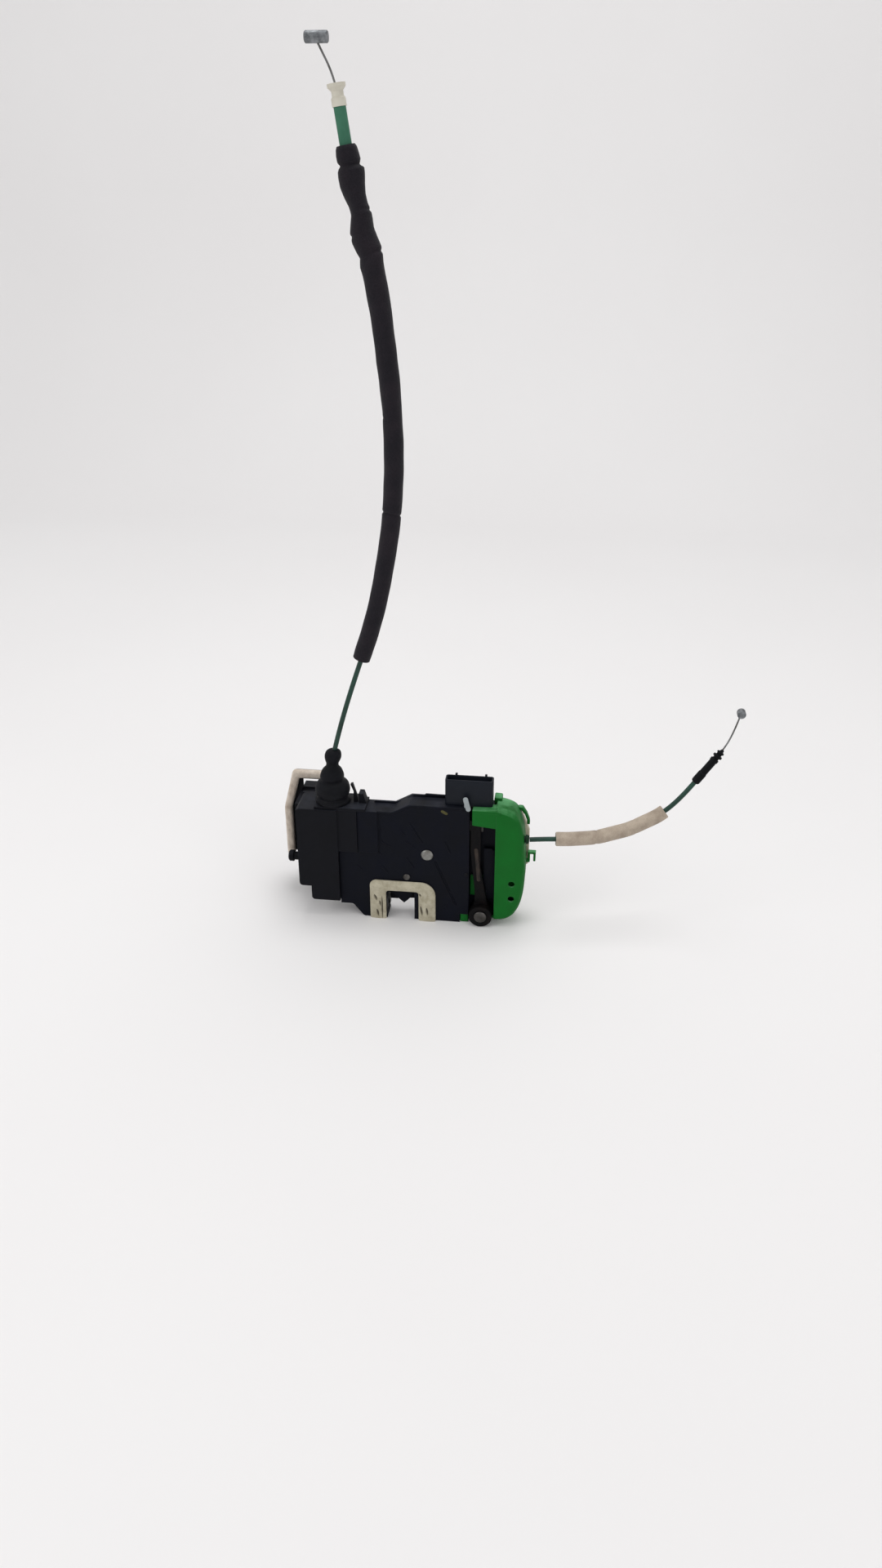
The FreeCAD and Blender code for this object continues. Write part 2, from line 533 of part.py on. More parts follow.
def endCover():
    body = newBody("end_cover")
    pad(body, "XZ", v.endFront, v.endBack, endOutline(sized(0), v.endLeft))
    pocket(body, "XZ", v.endFront + v.endShell, v.endBack - v.endShell,
           endOutline(v.endShell, v.endLeft - 1))
    # arm over the top of the outside lever
    pad(body, "XZ", v.endFront, v.endFront + v.endShell,
        [(v.armLeft, v.armBottom), (v.endLeft + 1, v.armBottom - 2), (v.endLeft + 1, v.armTop),
         (v.armLeft, v.armTop)])
    pad(body, "XZ", v.endFront, v.ledgeNear,
        rectangle(v.armLeft, v.armTop - v.endShell, v.endLeft + 1, v.armTop))
    # bump beside the connector socket
    pad(body, "XZ", v.bumpNear, v.endBack,
        rectangle(v.socketRight + 0.3, v.armTop - v.endShell, v.endLeft + v.bumpWide, v.bumpTop))
    # rail under the ledge, with the foot that shows at the case's notched corner
    foot, rail = v.notchLeft + 0.4, v.ledgeBottom - 0.2
    pad(body, "XZ", v.ledgeNear, v.caseDepth - 1, [(foot, 0.3), (v.endLeft + 0.4, 0.3), (v.endLeft + 2, 5.5),
                                                   (v.endLeft + 0.4, 6.6), (v.endLeft + 0.2, rail),
                                                   (foot, rail)])
    pad(body, "XZ", 0.6, v.ledgeNear + 0.5, rectangle(foot, 0.3, v.caseRight - 0.3, rail))
    pad(body, "XZ", 0.6, v.ledgeNear - 0.2, rectangle(foot, 0.3, v.caseRight - 0.3, v.notchTop - 0.4))
    for up in (v.holeHigh, v.holeLow):
        pocket(body, "XZ", v.endFront - 0.5, v.endFront + v.endShell + 0.5,
               (v.endRight - v.holeInset, up, v.holeRadius))
    # web behind the lever
    web = v.ledgeNear - v.webGap
    pad(body, "XZ", web - v.endShell, web,
        rectangle(v.caseRight + 0.6, v.webLow, v.endRight - 1.4, v.webHigh))
    # opening for the short cable and its gland
    pocket(body, "YZ", v.endRight - 5, v.endRight + 1, (v.glandDeep, v.glandUp, v.glandRadius - 1))
    # snap hooks on the far edge
    edge = v.endRight
    pad(body, "XZ", v.endBack - 7, v.endBack - 3, [
        (edge - 6.1, 92.4), (edge - 3.1, 92.2), (edge - 0.1, 87.5), (edge + 2.0, 82), (edge + 2.3, 78.5),
        (edge + 0.2, 78.5), (edge, 82), (edge - 1.8, 86.6), (edge - 4.4, 90), (edge - 6.6, 90.4)])
    pad(body, "XZ", v.endBack - 6, v.endBack - 2, [
        (edge - 1.8, 46), (edge + 3.2, 46), (edge + 3.2, 53), (edge + 5.6, 53), (edge + 5.6, 47),
        (edge + 7.4, 47), (edge + 7.4, 54.6), (edge + 1.6, 54.6), (edge + 1.6, 47.6), (edge - 1.8, 47.6)])
    return body


def gland():
    long = v.glandReach + v.glandNeck
    return turned("short_cable_gland", "X", (v.endRight - v.glandNeck, v.glandDeep, v.glandUp),
                  [(0, 0), (v.glandRadius - 1.1, 0), (v.glandRadius - 1.1, v.glandNeck + 0.2),
                   (v.glandRadius, v.glandNeck + 0.2), (v.glandRadius - 0.6, long), (0, long)])


def endPad():
    body = newBody("end_pad")
    left, right, low, high = v.endPadLeft, v.endRight + v.endPadOver, v.endPadLow, v.endPadHigh
    pad(body, "XZ", v.endBack, v.endBack + v.endPadDeep,
        [(left, low), (right, low), (right, high - 14), (right - 5.6, high), (left, high)])
    pocket(body, "XZ", v.endBack - 0.5, v.endBack + v.endPadDeep + 0.5,
           rectangle(left + 7, low + 7, right - 9.6, high - 8))
    return body


# cable box and inside lever

def boxOutline(inset):
    left, step, right = v.boxLeft + inset, v.stepLeft + inset, v.caseLeft - v.joinGap - inset
    return [(left, v.boxBottom + inset), (step, v.boxBottom + inset), (step, v.stepBottom + inset),
            (right, v.stepBottom + inset), (right, v.wingBottom + inset),
            (v.wingRight - inset, v.wingBottom + inset), (v.wingRight - inset, v.boxTop - inset),
            (left, v.boxTop - inset)]


def cableBox():
    body = newBody("cable_box")
    pad(body, "XZ", v.boxFront, v.boxBack, boxOutline(sized(0)))
    roundEdges(body, "Y", v.caseEdgeRound, (v.boxLeft, v.boxTop), (v.boxLeft, v.boxBottom),
               (v.stepLeft, v.stepBottom))
    pocket(body, "XZ", v.boxFront + v.sideWall, v.boxBack + 0.5, boxOutline(v.sideWall))
    # the wing beside the box stands a little lower
    pocket(body, "XZ", v.boxFront - 0.5, v.wingFront,
           rectangle(v.caseLeft - v.joinGap, v.wingBottom - 1, v.wingRight + 1, v.boxTop + 1))
    pad(body, "XZ", v.boxFront + 0.5, v.inLeverPin + 2, (v.inLeverAcross, v.inLeverUp, v.inLeverHub - 1))
    pocket(body, "XZ", v.boxFront + 1, v.inLeverPin + 3, (v.inLeverAcross, v.inLeverUp, v.inLeverPin))
    pocket(body, "XY", v.boxTop - v.sideWall - 1, v.boxTop + 1, (v.cableAcross, v.cableDeep, 6))
    return body


def boxCover():
    body = newBody("box_cover")
    near, far = v.boxBack, v.boxBack + v.coverThick
    pad(body, "XZ", near, far, [(v.sideRight + 0.3, v.stepBottom), (v.caseLeft - v.joinGap, v.stepBottom),
                                (v.caseLeft - v.joinGap, v.wingBottom), (v.wingRight, v.wingBottom),
                                (v.wingRight, v.boxTop), (v.sideRight + 0.3, v.boxTop)])
    return body


def insideLever():
    hub = rod("Y", v.inLeverAcross, 6, v.inLeverUp, v.inLeverHub, 8)
    arm = block(v.inLeverAcross, v.inLeverAcross + v.inLeverArm, 8.5, 11.5, v.inLeverUp - 3, v.inLeverUp + 3)
    eye = rod("Y", v.inLeverAcross + v.inLeverArm, 8.5, v.inLeverUp, 4, 3)
    bore = rod("Y", v.inLeverAcross, 5, v.inLeverUp, v.inLeverPin + v.running, 10)
    hole = rod("Y", v.inLeverAcross + v.inLeverArm, 8, v.inLeverUp, 2.2, 4)
    level = cut(fuse(hub, arm, eye), bore, hole)
    doc.recompute()
    shape = level.Shape.copy()
    centre = FreeCAD.Vector(v.inLeverAcross.number, 0, v.inLeverUp.number)
    shape.rotate(centre, FreeCAD.Vector(0, 1, 0), -v.inLeverTilt.number)
    return solidFeature("inside_lever", shape)


def insideLeverPin():
    return turned("inside_lever_pin", "Y", (v.inLeverAcross, 0, v.inLeverUp),
                  [(0, v.boxFront + 1), (v.inLeverPin, v.boxFront + 1), (v.inLeverPin, v.boxBack),
                   (0, v.boxBack)])


# side housing, its seal and the lock drive

def sideHousing():
    body = newBody("side_housing")
    near, far = v.boxBack, v.sideBack
    shell = v.sideShell
    pad(body, "XZ", near, far, rectangle(v.sideLeft, v.sideBottom, v.sideRight, v.sideTop))
    pocket(body, "XZ", near + shell, far + 0.5, rectangle(v.sideLeft + shell, v.sideBottom + shell,
                                                          v.sideRight - shell, v.sideTop - shell))
    # front wall grows to close the cable box
    pad(body, "XZ", near, near + shell, rectangle(v.boxLeft, v.boxBottom, v.sideRight, v.boxTop))
    # flange that carries the seal, with the foot that the lock stands on
    flangeFar = v.flangeNear + v.flangeThick
    pad(body, "XZ", v.flangeNear, flangeFar,
        [(v.footLeft, 0), (v.footRight, 0), (v.footRight, v.flangeBottom), (v.flangeRight, v.flangeBottom),
         (v.flangeRight, v.flangeTop - 8), (v.flangeRight - 8, v.flangeTop), (v.flangeLeft + 8, v.flangeTop),
         (v.flangeLeft, v.flangeTop - 30), (v.flangeLeft, v.flangeBottom), (v.footLeft, v.flangeBottom)])
    pocket(body, "XZ", v.flangeNear - 0.5, flangeFar + 0.5,
           rectangle(v.sideLeft + shell, v.sideBottom + shell, v.sideRight - shell, v.sideTop - shell))
    pocket(body, "XZ", v.flangeNear - 0.5, flangeFar + 0.5,
           rectangle(v.flangeLeft + 13, v.sideTop + 1.5, v.flangeRight - 13, v.flangeTop - 7))
    # foot ribs
    for across in (v.footLeft, v.footRight - 2):
        pad(body, "XZ", v.flangeNear - 8, far, rectangle(across, 0, across + 2, v.sideBottom + 0.5))
    return body


def sideCover():
    body = newBody("side_cover")
    pad(body, "XZ", v.sideBack, v.sideBack + 2, rectangle(v.sideLeft, v.sideBottom, v.sideRight, v.sideTop))
    pad(body, "XZ", v.sideBack - 3, v.sideBack + 0.2,
        rectangle(v.sideLeft + v.sideShell + 0.3, v.sideBottom + v.sideShell + 0.3,
                  v.sideRight - v.sideShell - 0.3, v.sideTop - v.sideShell - 0.3))
    pocket(body, "XZ", v.sideBack - 3.5, v.sideBack,
           rectangle(v.sideLeft + v.sideShell + 2, v.sideBottom + v.sideShell + 2,
                     v.sideRight - v.sideShell - 2, v.sideTop - v.sideShell - 2))
    return body


def sideSeal():
    body = newBody("side_seal")
    near, far = v.flangeNear - v.padDeep, v.flangeNear
    grow, wide = v.padGrow, v.padWide
    pad(body, "XZ", near, far, [(v.flangeLeft - grow, v.flangeBottom), (v.sideLeft - 0.3, v.flangeBottom),
                                (v.sideLeft - 0.3, v.flangeBottom + wide),
                                (v.flangeLeft - grow + wide, v.flangeBottom + wide),
                                (v.flangeLeft - grow + wide, v.flangeTop - 30),
                                (v.flangeLeft + 8 - grow + wide * 0.8, v.flangeTop + grow - wide),
                                (v.flangeRight - 8, v.flangeTop + grow - wide),
                                (v.flangeRight - 8, v.flangeTop + grow), (v.flangeLeft + 8 - grow,
                                v.flangeTop + grow), (v.flangeLeft - grow, v.flangeTop - 30)])
    return body


def motor():
    body = newBody("lock_motor")
    bottom = v.sideBottom + v.sideShell
    pad(body, "XY", bottom, bottom + v.motorLong, (v.motorAcross, v.motorDeep, v.motorRadius))
    for side in (-1, 1):
        edge = v.motorAcross + v.motorFlat * side
        pocket(body, "XY", bottom - 0.5, bottom + v.motorLong + 0.5,
               rectangle(edge, v.motorDeep - 12, edge + 6, v.motorDeep + 12) if side > 0 else
               rectangle(edge - 6, v.motorDeep - 12, edge, v.motorDeep + 12))
    pad(body, "XY", bottom + v.motorLong - 0.2, bottom + v.motorLong + 1.5, (v.motorAcross, v.motorDeep, 3))
    pocket(body, "XY", bottom + v.motorLong - 6, bottom + v.motorLong + 2,
           (v.motorAcross, v.motorDeep, v.shaftRadius + v.running))
    return body


def worm():
    bottom = v.sideBottom + v.sideShell + v.motorLong
    low, top = bottom + 1.8, bottom + 1.8 + v.wormLong
    return turned("motor_worm", "Z", (v.motorAcross, v.motorDeep, 0),
                  [(0, bottom - 5), (v.shaftRadius, bottom - 5), (v.shaftRadius, low), (v.wormRadius, low),
                   (v.wormRadius, top), (v.shaftRadius, top), (v.shaftRadius, top + 3), (0, top + 3)])


def wormWheel():
    """A toothed wheel on an axle along X, beside the worm."""
    deep = v.motorDeep - v.wheelDrop
    left = v.motorAcross - v.wheelWide * 0.5
    body = newBody("worm_wheel")
    pad(body, "YZ", left, left + v.wheelWide, (deep, v.wheelUp, v.wheelRadius - 1.6))
    teeth = 18
    tooth = newSketch(body, "YZ", (0, 0, left))
    inner, outer = v.wheelRadius - 2.0, v.wheelRadius
    drawOutline(tooth, [(deep + inner, v.wheelUp - 0.75), (deep + outer, v.wheelUp - 0.4),
                        (deep + outer, v.wheelUp + 0.4), (deep + inner, v.wheelUp + 0.75)])
    feature = body.newObject("PartDesign::Pad", "Tooth")
    feature.Profile = tooth
    bind(feature, "Length", v.wheelWide)
    doc.recompute()
    axis = newSketch(body, "YZ", (deep, v.wheelUp, 0))
    ring = body.newObject("PartDesign::PolarPattern", "Teeth")
    ring.Originals = [feature]
    ring.Axis = (axis, ["N_Axis"])
    ring.Angle = 360
    ring.Occurrences = teeth
    body.Tip = ring
    doc.recompute()
    pocket(body, "YZ", left - 0.5, left + v.wheelWide + 0.5, (deep, v.wheelUp, v.axleRadius + v.running))
    return body


def lockLever():
    deep = v.motorDeep - v.wheelDrop
    left = v.motorAcross - v.wheelWide * 0.5 - 3
    body = newBody("lock_lever")
    pad(body, "YZ", left, left + 2.6, (deep, v.wheelUp, 4.2))
    tip = v.wheelUp + v.lockArm
    pad(body, "YZ", left, left + 2.6,
        [(deep - 3.2, v.wheelUp), (deep + 3.2, v.wheelUp), (deep + 2.2, tip), (deep - 2.2, tip)])
    pad(body, "YZ", left + 2.4, left + 3, (deep, v.wheelUp, 3))
    pocket(body, "YZ", left - 0.5, left + 3.5, (deep, v.wheelUp, v.axleRadius + v.running))
    return body


def wheelAxle():
    return turned("wheel_axle", "X", (v.sideLeft + v.sideShell, v.motorDeep - v.wheelDrop, v.wheelUp),
                  [(0, 0), (v.axleRadius, 0), (v.axleRadius, v.sideRight - v.sideLeft - v.sideShell * 2),
                   (0, v.sideRight - v.sideLeft - v.sideShell * 2)])


def keyStud():
    return turned("key_stud", "X", (v.sideLeft, v.keyDeep, v.keyUp),
                  [(0, 0), (3.2, 0), (3.2, -5.5), (4.4, -5.5), (4.4, -8.5), (3.4, -9.5), (0, -9.5)])


# connector

def connectorSocket():
    body = newBody("connector_socket")
    low = v.caseTop
    far = v.caseDepth - v.socketInset
    pad(body, "XY", low, v.socketTop, rectangle(v.socketLeft, v.socketNear, v.socketRight, far))
    roundEdges(body, "Z", 1.2, (v.socketLeft, v.socketNear), (v.socketRight, v.socketNear),
               (v.socketLeft, far), (v.socketRight, far))
    wall = v.socketWall
    pocket(body, "XY", low + v.socketFloor, v.socketTop + 0.5,
           rectangle(v.socketLeft + wall, v.socketNear + wall, v.socketRight - wall, far - wall))
    # guide ribs on the rim
    for across in (v.socketLeft + 6.5, v.socketRight - 8.2):
        pad(body, "XY", v.socketTop - 14, v.socketTop + 1,
            rectangle(across, v.socketNear - 0.9, across + 1.7, v.socketNear + 0.4))
    return body


def connectorPins():
    pins = []
    middle = (v.socketLeft + v.socketRight) * 0.5
    deep = (v.socketNear + v.caseDepth - v.socketInset) * 0.5
    for column in range(6):
        for side in (-1.6, 1.6):
            across = middle + v.pinPitch * (column - 2.5)
            pins.append(block(across - v.pinHalf, across + v.pinHalf, deep + side - v.pinHalf,
                              deep + side + v.pinHalf, v.caseTop + v.socketFloor,
                              v.caseTop + v.socketFloor + v.pinTall))
    group = doc.addObject("Part::Compound", "Pins")
    group.Links = pins
    return keep(group, "connector_pins")


def connectorClip():
    clip = block(v.clipLeft, v.clipRight, v.socketNear - v.clipThick, v.socketNear, v.caseTop + 0.3,
                 v.caseTop + v.clipTall)
    return keep(clip, "connector_clip")


# seal and buffer

def slotSeal():
    body = newBody("slot_seal")
    pad(body, "XZ", -v.sealThick, 0, [
        (v.sealLeft, 0), (-v.sealSlot, 0), (-v.sealSlot, v.sealSlotTop), (v.sealSlot, v.sealSlotTop),
        (v.sealSlot, 0), (v.sealRight, 0), (v.sealRight, v.sealTop), (v.sealLeft, v.sealTop)])
    roundEdges(body, "Y", v.sealRoundRight, (v.sealRight, v.sealTop))
    roundEdges(body, "Y", v.sealRoundLeft, (v.sealLeft, v.sealTop))
    return body


def strikerBuffer():
    top = v.slotTop
    return keep(block(-5, 5, v.mouthDepth, v.forkNear - 0.6, top + 0.2, top + 4), "striker_buffer")


# boot and its bracket

def boot():
    """Bellows of revolution: a foot, two swelling tiers, a neck and a knob."""
    foot, top = v.bootFoot + v.bracketThick, v.bootTop
    body = turned("cable_boot", "Z", (v.cableAcross, v.cableDeep, 0), [
        (0, foot), (v.bootBase, foot), (v.bootBase, foot + 2.2), (v.bootBase - 2.4, foot + 3.6),
        (v.bootBase - 2.0, foot + 7.5), (v.bootBase - 1.0, foot + 10.5), (v.bootBase - 2.2, foot + 13.2),
        (8.0, foot + 16.0), (5.6, foot + 18.6), (5.8, foot + 20.4), (7.2, foot + 22.6), (6.9, foot + 24.4),
        (3.9, foot + 26.4), (3.9, foot + 28.6), (5.2, foot + 30.6), (5.4, top - 5), (4.9, top - 1.2),
        (3.2, top), (0, top)])
    return body


def bootBracket():
    body = newBody("boot_bracket")
    low, high = v.bootFoot, v.bootFoot + v.bracketThick
    post = v.postRight
    pad(body, "XY", low, high,
        rectangle(v.cableAcross - 14, v.boxFront + 1, post, v.caseDepth + v.coverThick))
    pocket(body, "XY", low - 0.5, high + 0.5, (v.cableAcross, v.cableDeep, 5))
    # strut beside the boot, and the clip post beyond a narrow gap
    strut = v.cableAcross + v.bootBase + 0.4
    pad(body, "XZ", v.cableDeep - 1.5, v.cableDeep + 1.5, [
        (strut, high - 0.5), (strut, 101), (strut - 2.1, 106.3), (strut - 0.5, 106.8), (strut + 2.1, 98),
        (strut + 2.8, high - 0.5)])
    pad(body, "XZ", v.cableDeep - 3, v.cableDeep + 4,
        [(post - 5.8, high - 0.5), (post - 5.8, 100), (post - 2.6, 100), (post - 1.7, 97),
         (post, high - 0.5)])
    return body


# cables

def bends(points):
    """Each inner corner's arc, as where it begins, its middle, where it ends and its radius."""
    points = [FreeCAD.Vector(*point) for point in points]
    arcs = []
    for before, corner, after in zip(points, points[1:], points[2:]):
        back, ahead = before - corner, after - corner
        half = (math.pi - back.getAngle(ahead)) / 2
        reach = 0.45 * min(back.Length, ahead.Length)
        radius = reach / math.tan(half)
        back.normalize()
        ahead.normalize()
        inward = back + ahead
        inward.normalize()
        middle = corner + inward * (radius / math.cos(half) - radius)
        arcs.append((corner + back * reach, middle, corner + ahead * reach, radius))
    return arcs


def onRun(points, run, share):
    first, second = FreeCAD.Vector(*points[run]), FreeCAD.Vector(*points[run + 1])
    return first + (second - first) * share


def routeWire(points, first=(0, 0.0), last=None):
    """Straight runs and tangent arcs between two places, each a run's number and the share along it."""
    last = last or (len(points) - 2, 1.0)
    edges = []
    here = onRun(points, *first)
    for start, middle, end, radius in bends(points)[first[0]:last[0]]:
        edges.append(Part.LineSegment(here, start).toShape())
        edges.append(Part.Arc(start, middle, end).toShape())
        here = end
    edges.append(Part.LineSegment(here, onRun(points, *last)).toShape())
    return Part.Wire(edges)


def tube(wire, outer, inner=None):
    start = wire.Edges[0].valueAt(wire.Edges[0].FirstParameter)
    heading = wire.Edges[0].tangentAt(wire.Edges[0].FirstParameter)
    solid = Part.Wire([Part.makeCircle(outer, start, heading)])
    shape = Part.Wire(wire).makePipeShell([solid], True, False)
    expected = math.pi * outer * outer * wire.Length
    if abs(shape.Volume - expected) > 0.01 * expected:
        raise RuntimeError("a cable's volume is not its section times its length")
    if inner is not None:
        hollow = Part.Wire([Part.makeCircle(inner, start, heading)])
        shape = shape.cut(Part.Wire(wire).makePipeShell([hollow], True, False))
    return shape


def cables():
    radius = v.conduitRadius.number
    for label, points in (("long_conduit", LONG_ROUTE), ("short_conduit", SHORT_ROUTE)):
        print(label, "radii", [round(arc[3]) for arc in bends(points)])
        wire = routeWire(points)
        print(label, "length", round(wire.Length, 1))
        solidFeature(label, tube(wire, radius))
    # a sleeve's ends lie in the straight middle of a run
    hollow = radius + v.sleeveSlack.number
    longSleeve = routeWire(LONG_ROUTE, (2, 0.5), (len(LONG_ROUTE) - 2, 0.95))
    solidFeature("long_sleeve", tube(longSleeve, v.sleeveRadius.number, hollow))
    shortSleeve = routeWire(SHORT_ROUTE, (1, 0.5), (5, 0.5))
    solidFeature("short_sleeve", tube(shortSleeve, v.shortSleeveRadius.number, hollow))


def along(start, end):
    return FreeCAD.Rotation(FreeCAD.Vector(0, 0, 1), FreeCAD.Vector(*end) - FreeCAD.Vector(*start))


def endPieces():
    """The turned pieces at the cables' far ends, drawn upright and set on the cable's heading."""
    base, tip = FreeCAD.Vector(*LONG_ROUTE[-1]), FreeCAD.Vector(*LONG_TIP[0])
    heading = (tip - base).normalize()
    gap = 0.3
    bore = v.boreRadius
    fitting = turned("long_fitting", "Z", (0, 0, 0), [
        (0, 0), (v.fittingRadius - 0.6, 0), (v.fittingRadius, 0.8), (v.fittingRadius, v.fittingLong),
        (bore, v.fittingLong), (bore, v.fittingLong - 12), (0, v.fittingLong - 12)])
    collar = turned("long_collar", "Z", (0, 0, 0), [
        (v.collarBore, 0), (v.collarRadius, 0), (v.collarRadius, 4), (v.collarRadius - 0.7, 5),
        (v.collarRadius - 0.7, 7.5), (v.collarFlare, 9.5), (v.collarFlare, v.collarLong - 0.4),
        (v.collarBore, v.collarLong - 0.4)])
    fitting.Placement = FreeCAD.Placement(base + heading * gap, along(base, tip))
    collar.Placement = FreeCAD.Placement(base + heading * (gap + v.fittingLong.number), along(base, tip))
    base, tip = FreeCAD.Vector(*SHORT_ROUTE[-1]), FreeCAD.Vector(*SHORT_TIP[0])
    heading = (tip - base).normalize()
    long = v.ferruleLong - gap
    radius = v.ferruleRadius
    ferrule = turned("short_ferrule", "Z", (0, 0, 0), [
        (0, 0), (radius, 0), (radius + 0.3, 1), (radius + 0.3, 9), (radius - 0.5, 10), (radius - 0.5, 15),
        (radius + 1.2, 15.5), (radius + 1.2, 17), (radius, 17.5), (radius, 19.5), (radius + 1.2, 20),
        (radius + 1.2, 21.5), (radius - 0.4, 22), (radius - 0.8, long), (bore, long), (bore, long - 14),
        (0, long - 14)])
    ferrule.Placement = FreeCAD.Placement(base + heading * gap, along(base, tip))
    nipples = [
        turned("long_nipple", "X", (0, 0, 0), [
            (0, -v.nippleLong * 0.5), (v.nippleRadius - 0.5, -v.nippleLong * 0.5),
            (v.nippleRadius, -v.nippleLong * 0.5 + 0.5), (v.nippleRadius, v.nippleLong * 0.5 - 0.5),
            (v.nippleRadius - 0.5, v.nippleLong * 0.5), (0, v.nippleLong * 0.5)]),
        turned("short_nipple", "Y", (0, 0, 0), [
            (0, -2.8), (v.ballRadius - 0.5, -2.8), (v.ballRadius, -2.3), (v.ballRadius, 2.3),
            (v.ballRadius - 0.5, 2.8), (0, 2.8)])]
    for nipple, label, hidden, origin, points, offset in (
            (nipples[0], "long_wire", v.wireHidden, LONG_ROUTE[-1], LONG_TIP,
             (-0.8, 0, v.nippleRadius.number)),
            (nipples[1], "short_wire", v.wireHidden - 8, SHORT_ROUTE[-1], SHORT_TIP,
             (0.8, 0, v.ballRadius.number))):
        end = FreeCAD.Vector(*points[-1])
        nipple.Placement = FreeCAD.Placement(end + FreeCAD.Vector(*offset), FreeCAD.Rotation())
        doc.recompute()
        outlet = FreeCAD.Vector(*points[0])
        back = (outlet - FreeCAD.Vector(*origin)).normalize()
        ahead = (end - FreeCAD.Vector(*points[-2])).normalize()
        route = [tuple(outlet - back * sized(hidden).number), tuple(outlet + back * 1.5)]
        route += points[1:-1] + [tuple(end + ahead * 1.5)]
        wire = tube(routeWire(route), v.wireRadius.number)
        # the nipple is cast round the wire's end, so the wire stops at its face
        solidFeature(label, wire.cut(nipple.Shape).Solids[0])


latchCase()
framePlate()
caseCover()
fork()
pawl()
rivet("fork_rivet", v.forkAcross, v.forkUp, v.forkPin, 0, 0)
rivet("pawl_rivet", v.pawlAcross, v.pawlUp, v.pawlShank, v.rivetHead, v.rivetHeadRise)
springPost()
ringSpring("fork_spring", v.forkAcross, v.forkUp, v.forkSpringRadius, v.forkSpringWire, 15, 200, (2, 5))
ringSpring("pawl_spring", v.pawlAcross, v.pawlUp, v.pawlSpringRadius, v.pawlSpringWire, 60, 250, (5, 10))
outsideLever()
leverPin()
releaseLink()
endCover()
gland()
endPad()
cableBox()
boxCover()
insideLever()
insideLeverPin()
sideHousing()
sideCover()
sideSeal()
motor()
worm()
wormWheel()
lockLever()
wheelAxle()
keyStud()
connectorSocket()
connectorPins()
connectorClip()
slotSeal()
strikerBuffer()
boot()
bootBracket()
cables()
endPieces()
doc.recompute()

for item in doc.Objects:
    if "Invalid" in item.State or "Error" in item.State:
        raise RuntimeError(f"{item.Label} did not build: {item.State}")
os.makedirs("parts", exist_ok=True)
for item in subparts:
    shape = item.Shape
    if shape.isNull() or not shape.isValid() or not shape.Solids:
        raise RuntimeError(f"{item.Label} has no valid solid")
    shape.exportStep(f"parts/{item.Label}.step")
print(len(subparts), "sub-parts written")
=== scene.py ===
import math

import bpy
import numpy as np
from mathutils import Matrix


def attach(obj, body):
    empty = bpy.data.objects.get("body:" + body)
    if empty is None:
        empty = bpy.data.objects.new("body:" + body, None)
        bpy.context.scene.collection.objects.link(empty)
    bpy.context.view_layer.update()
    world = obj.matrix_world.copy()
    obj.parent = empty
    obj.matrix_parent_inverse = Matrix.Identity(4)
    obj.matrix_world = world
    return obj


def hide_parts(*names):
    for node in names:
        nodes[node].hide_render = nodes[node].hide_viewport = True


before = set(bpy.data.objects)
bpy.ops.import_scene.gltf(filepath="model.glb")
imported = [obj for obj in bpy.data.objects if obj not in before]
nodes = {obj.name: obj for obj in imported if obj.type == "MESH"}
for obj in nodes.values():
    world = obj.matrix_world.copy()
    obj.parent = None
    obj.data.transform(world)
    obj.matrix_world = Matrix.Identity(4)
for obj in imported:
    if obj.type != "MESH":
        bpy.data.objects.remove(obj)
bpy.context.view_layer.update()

# Looks of a car door lock with two pull cables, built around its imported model.
# Dictionaries and shape functions use millimetres; meshes are in metres.

mm = 0.001
print("frame loaded")

# camera, floor and lights

camera = dict(place=(119.7, -729.7, 503.0), turn=7.0, tilt=27.8, lens=27.19, sensor=36.0)
studio = dict(floorColour="#f3f2f2", wallColour="#eceaea", worldStrength=0.62,
              floorNear=-2500.0, wallAt=1500.0, sweep=450.0, wallTop=2600.0, half=3200.0)


def hexToLinear(code):
    # sRGB to linear light: c / 12.92 up to 0.04045, above it ((c + 0.055) / 1.055) ^ 2.4
    parts = [int(code[k:k + 2], 16) / 255 for k in (1, 3, 5)]
    return [c / 12.92 if c <= 0.04045 else ((c + 0.055) / 1.055) ** 2.4 for c in parts] + [1.0]


def setInputs(tree, node, inputs):
    # an input takes a number, a vector, a hex colour, another node's output, or a node for its first one
    for name, value in inputs.items():
        if isinstance(value, bpy.types.Node):
            value = value.outputs[0]
        if isinstance(value, bpy.types.NodeSocket):
            tree.links.new(value, node.inputs[name])
        else:
            node.inputs[name].default_value = hexToLinear(value) if isinstance(value, str) else value


def addNode(tree, kind, inputs=None, **settings):
    node = tree.nodes.new("ShaderNode" + kind)
    for name, value in settings.items():
        setattr(node, name, value)
    setInputs(tree, node, inputs or {})
    return node


def startMaterial(name):
    material = bpy.data.materials.new(name)
    material.use_nodes = True
    tree = material.node_tree
    return material, tree, tree.nodes["Principled BSDF"], addNode(tree, "TexCoord").outputs["Object"]


def makeCamera(look):
    data = bpy.data.cameras.new("photoCamera")
    data.sensor_fit = "VERTICAL"
    data.sensor_height = look["sensor"]
    data.lens = look["lens"]
    data.clip_start = 0.02
    data.clip_end = 50
    item = bpy.data.objects.new("photoCamera", data)
    item.location = [value * mm for value in look["place"]]
    item.rotation_euler = (math.radians(90 - look["tilt"]), 0, math.radians(look["turn"]))
    bpy.context.scene.collection.objects.link(item)
    bpy.context.scene.camera = item


makeCamera(camera)
bpy.context.scene.view_settings.view_transform = "Standard"


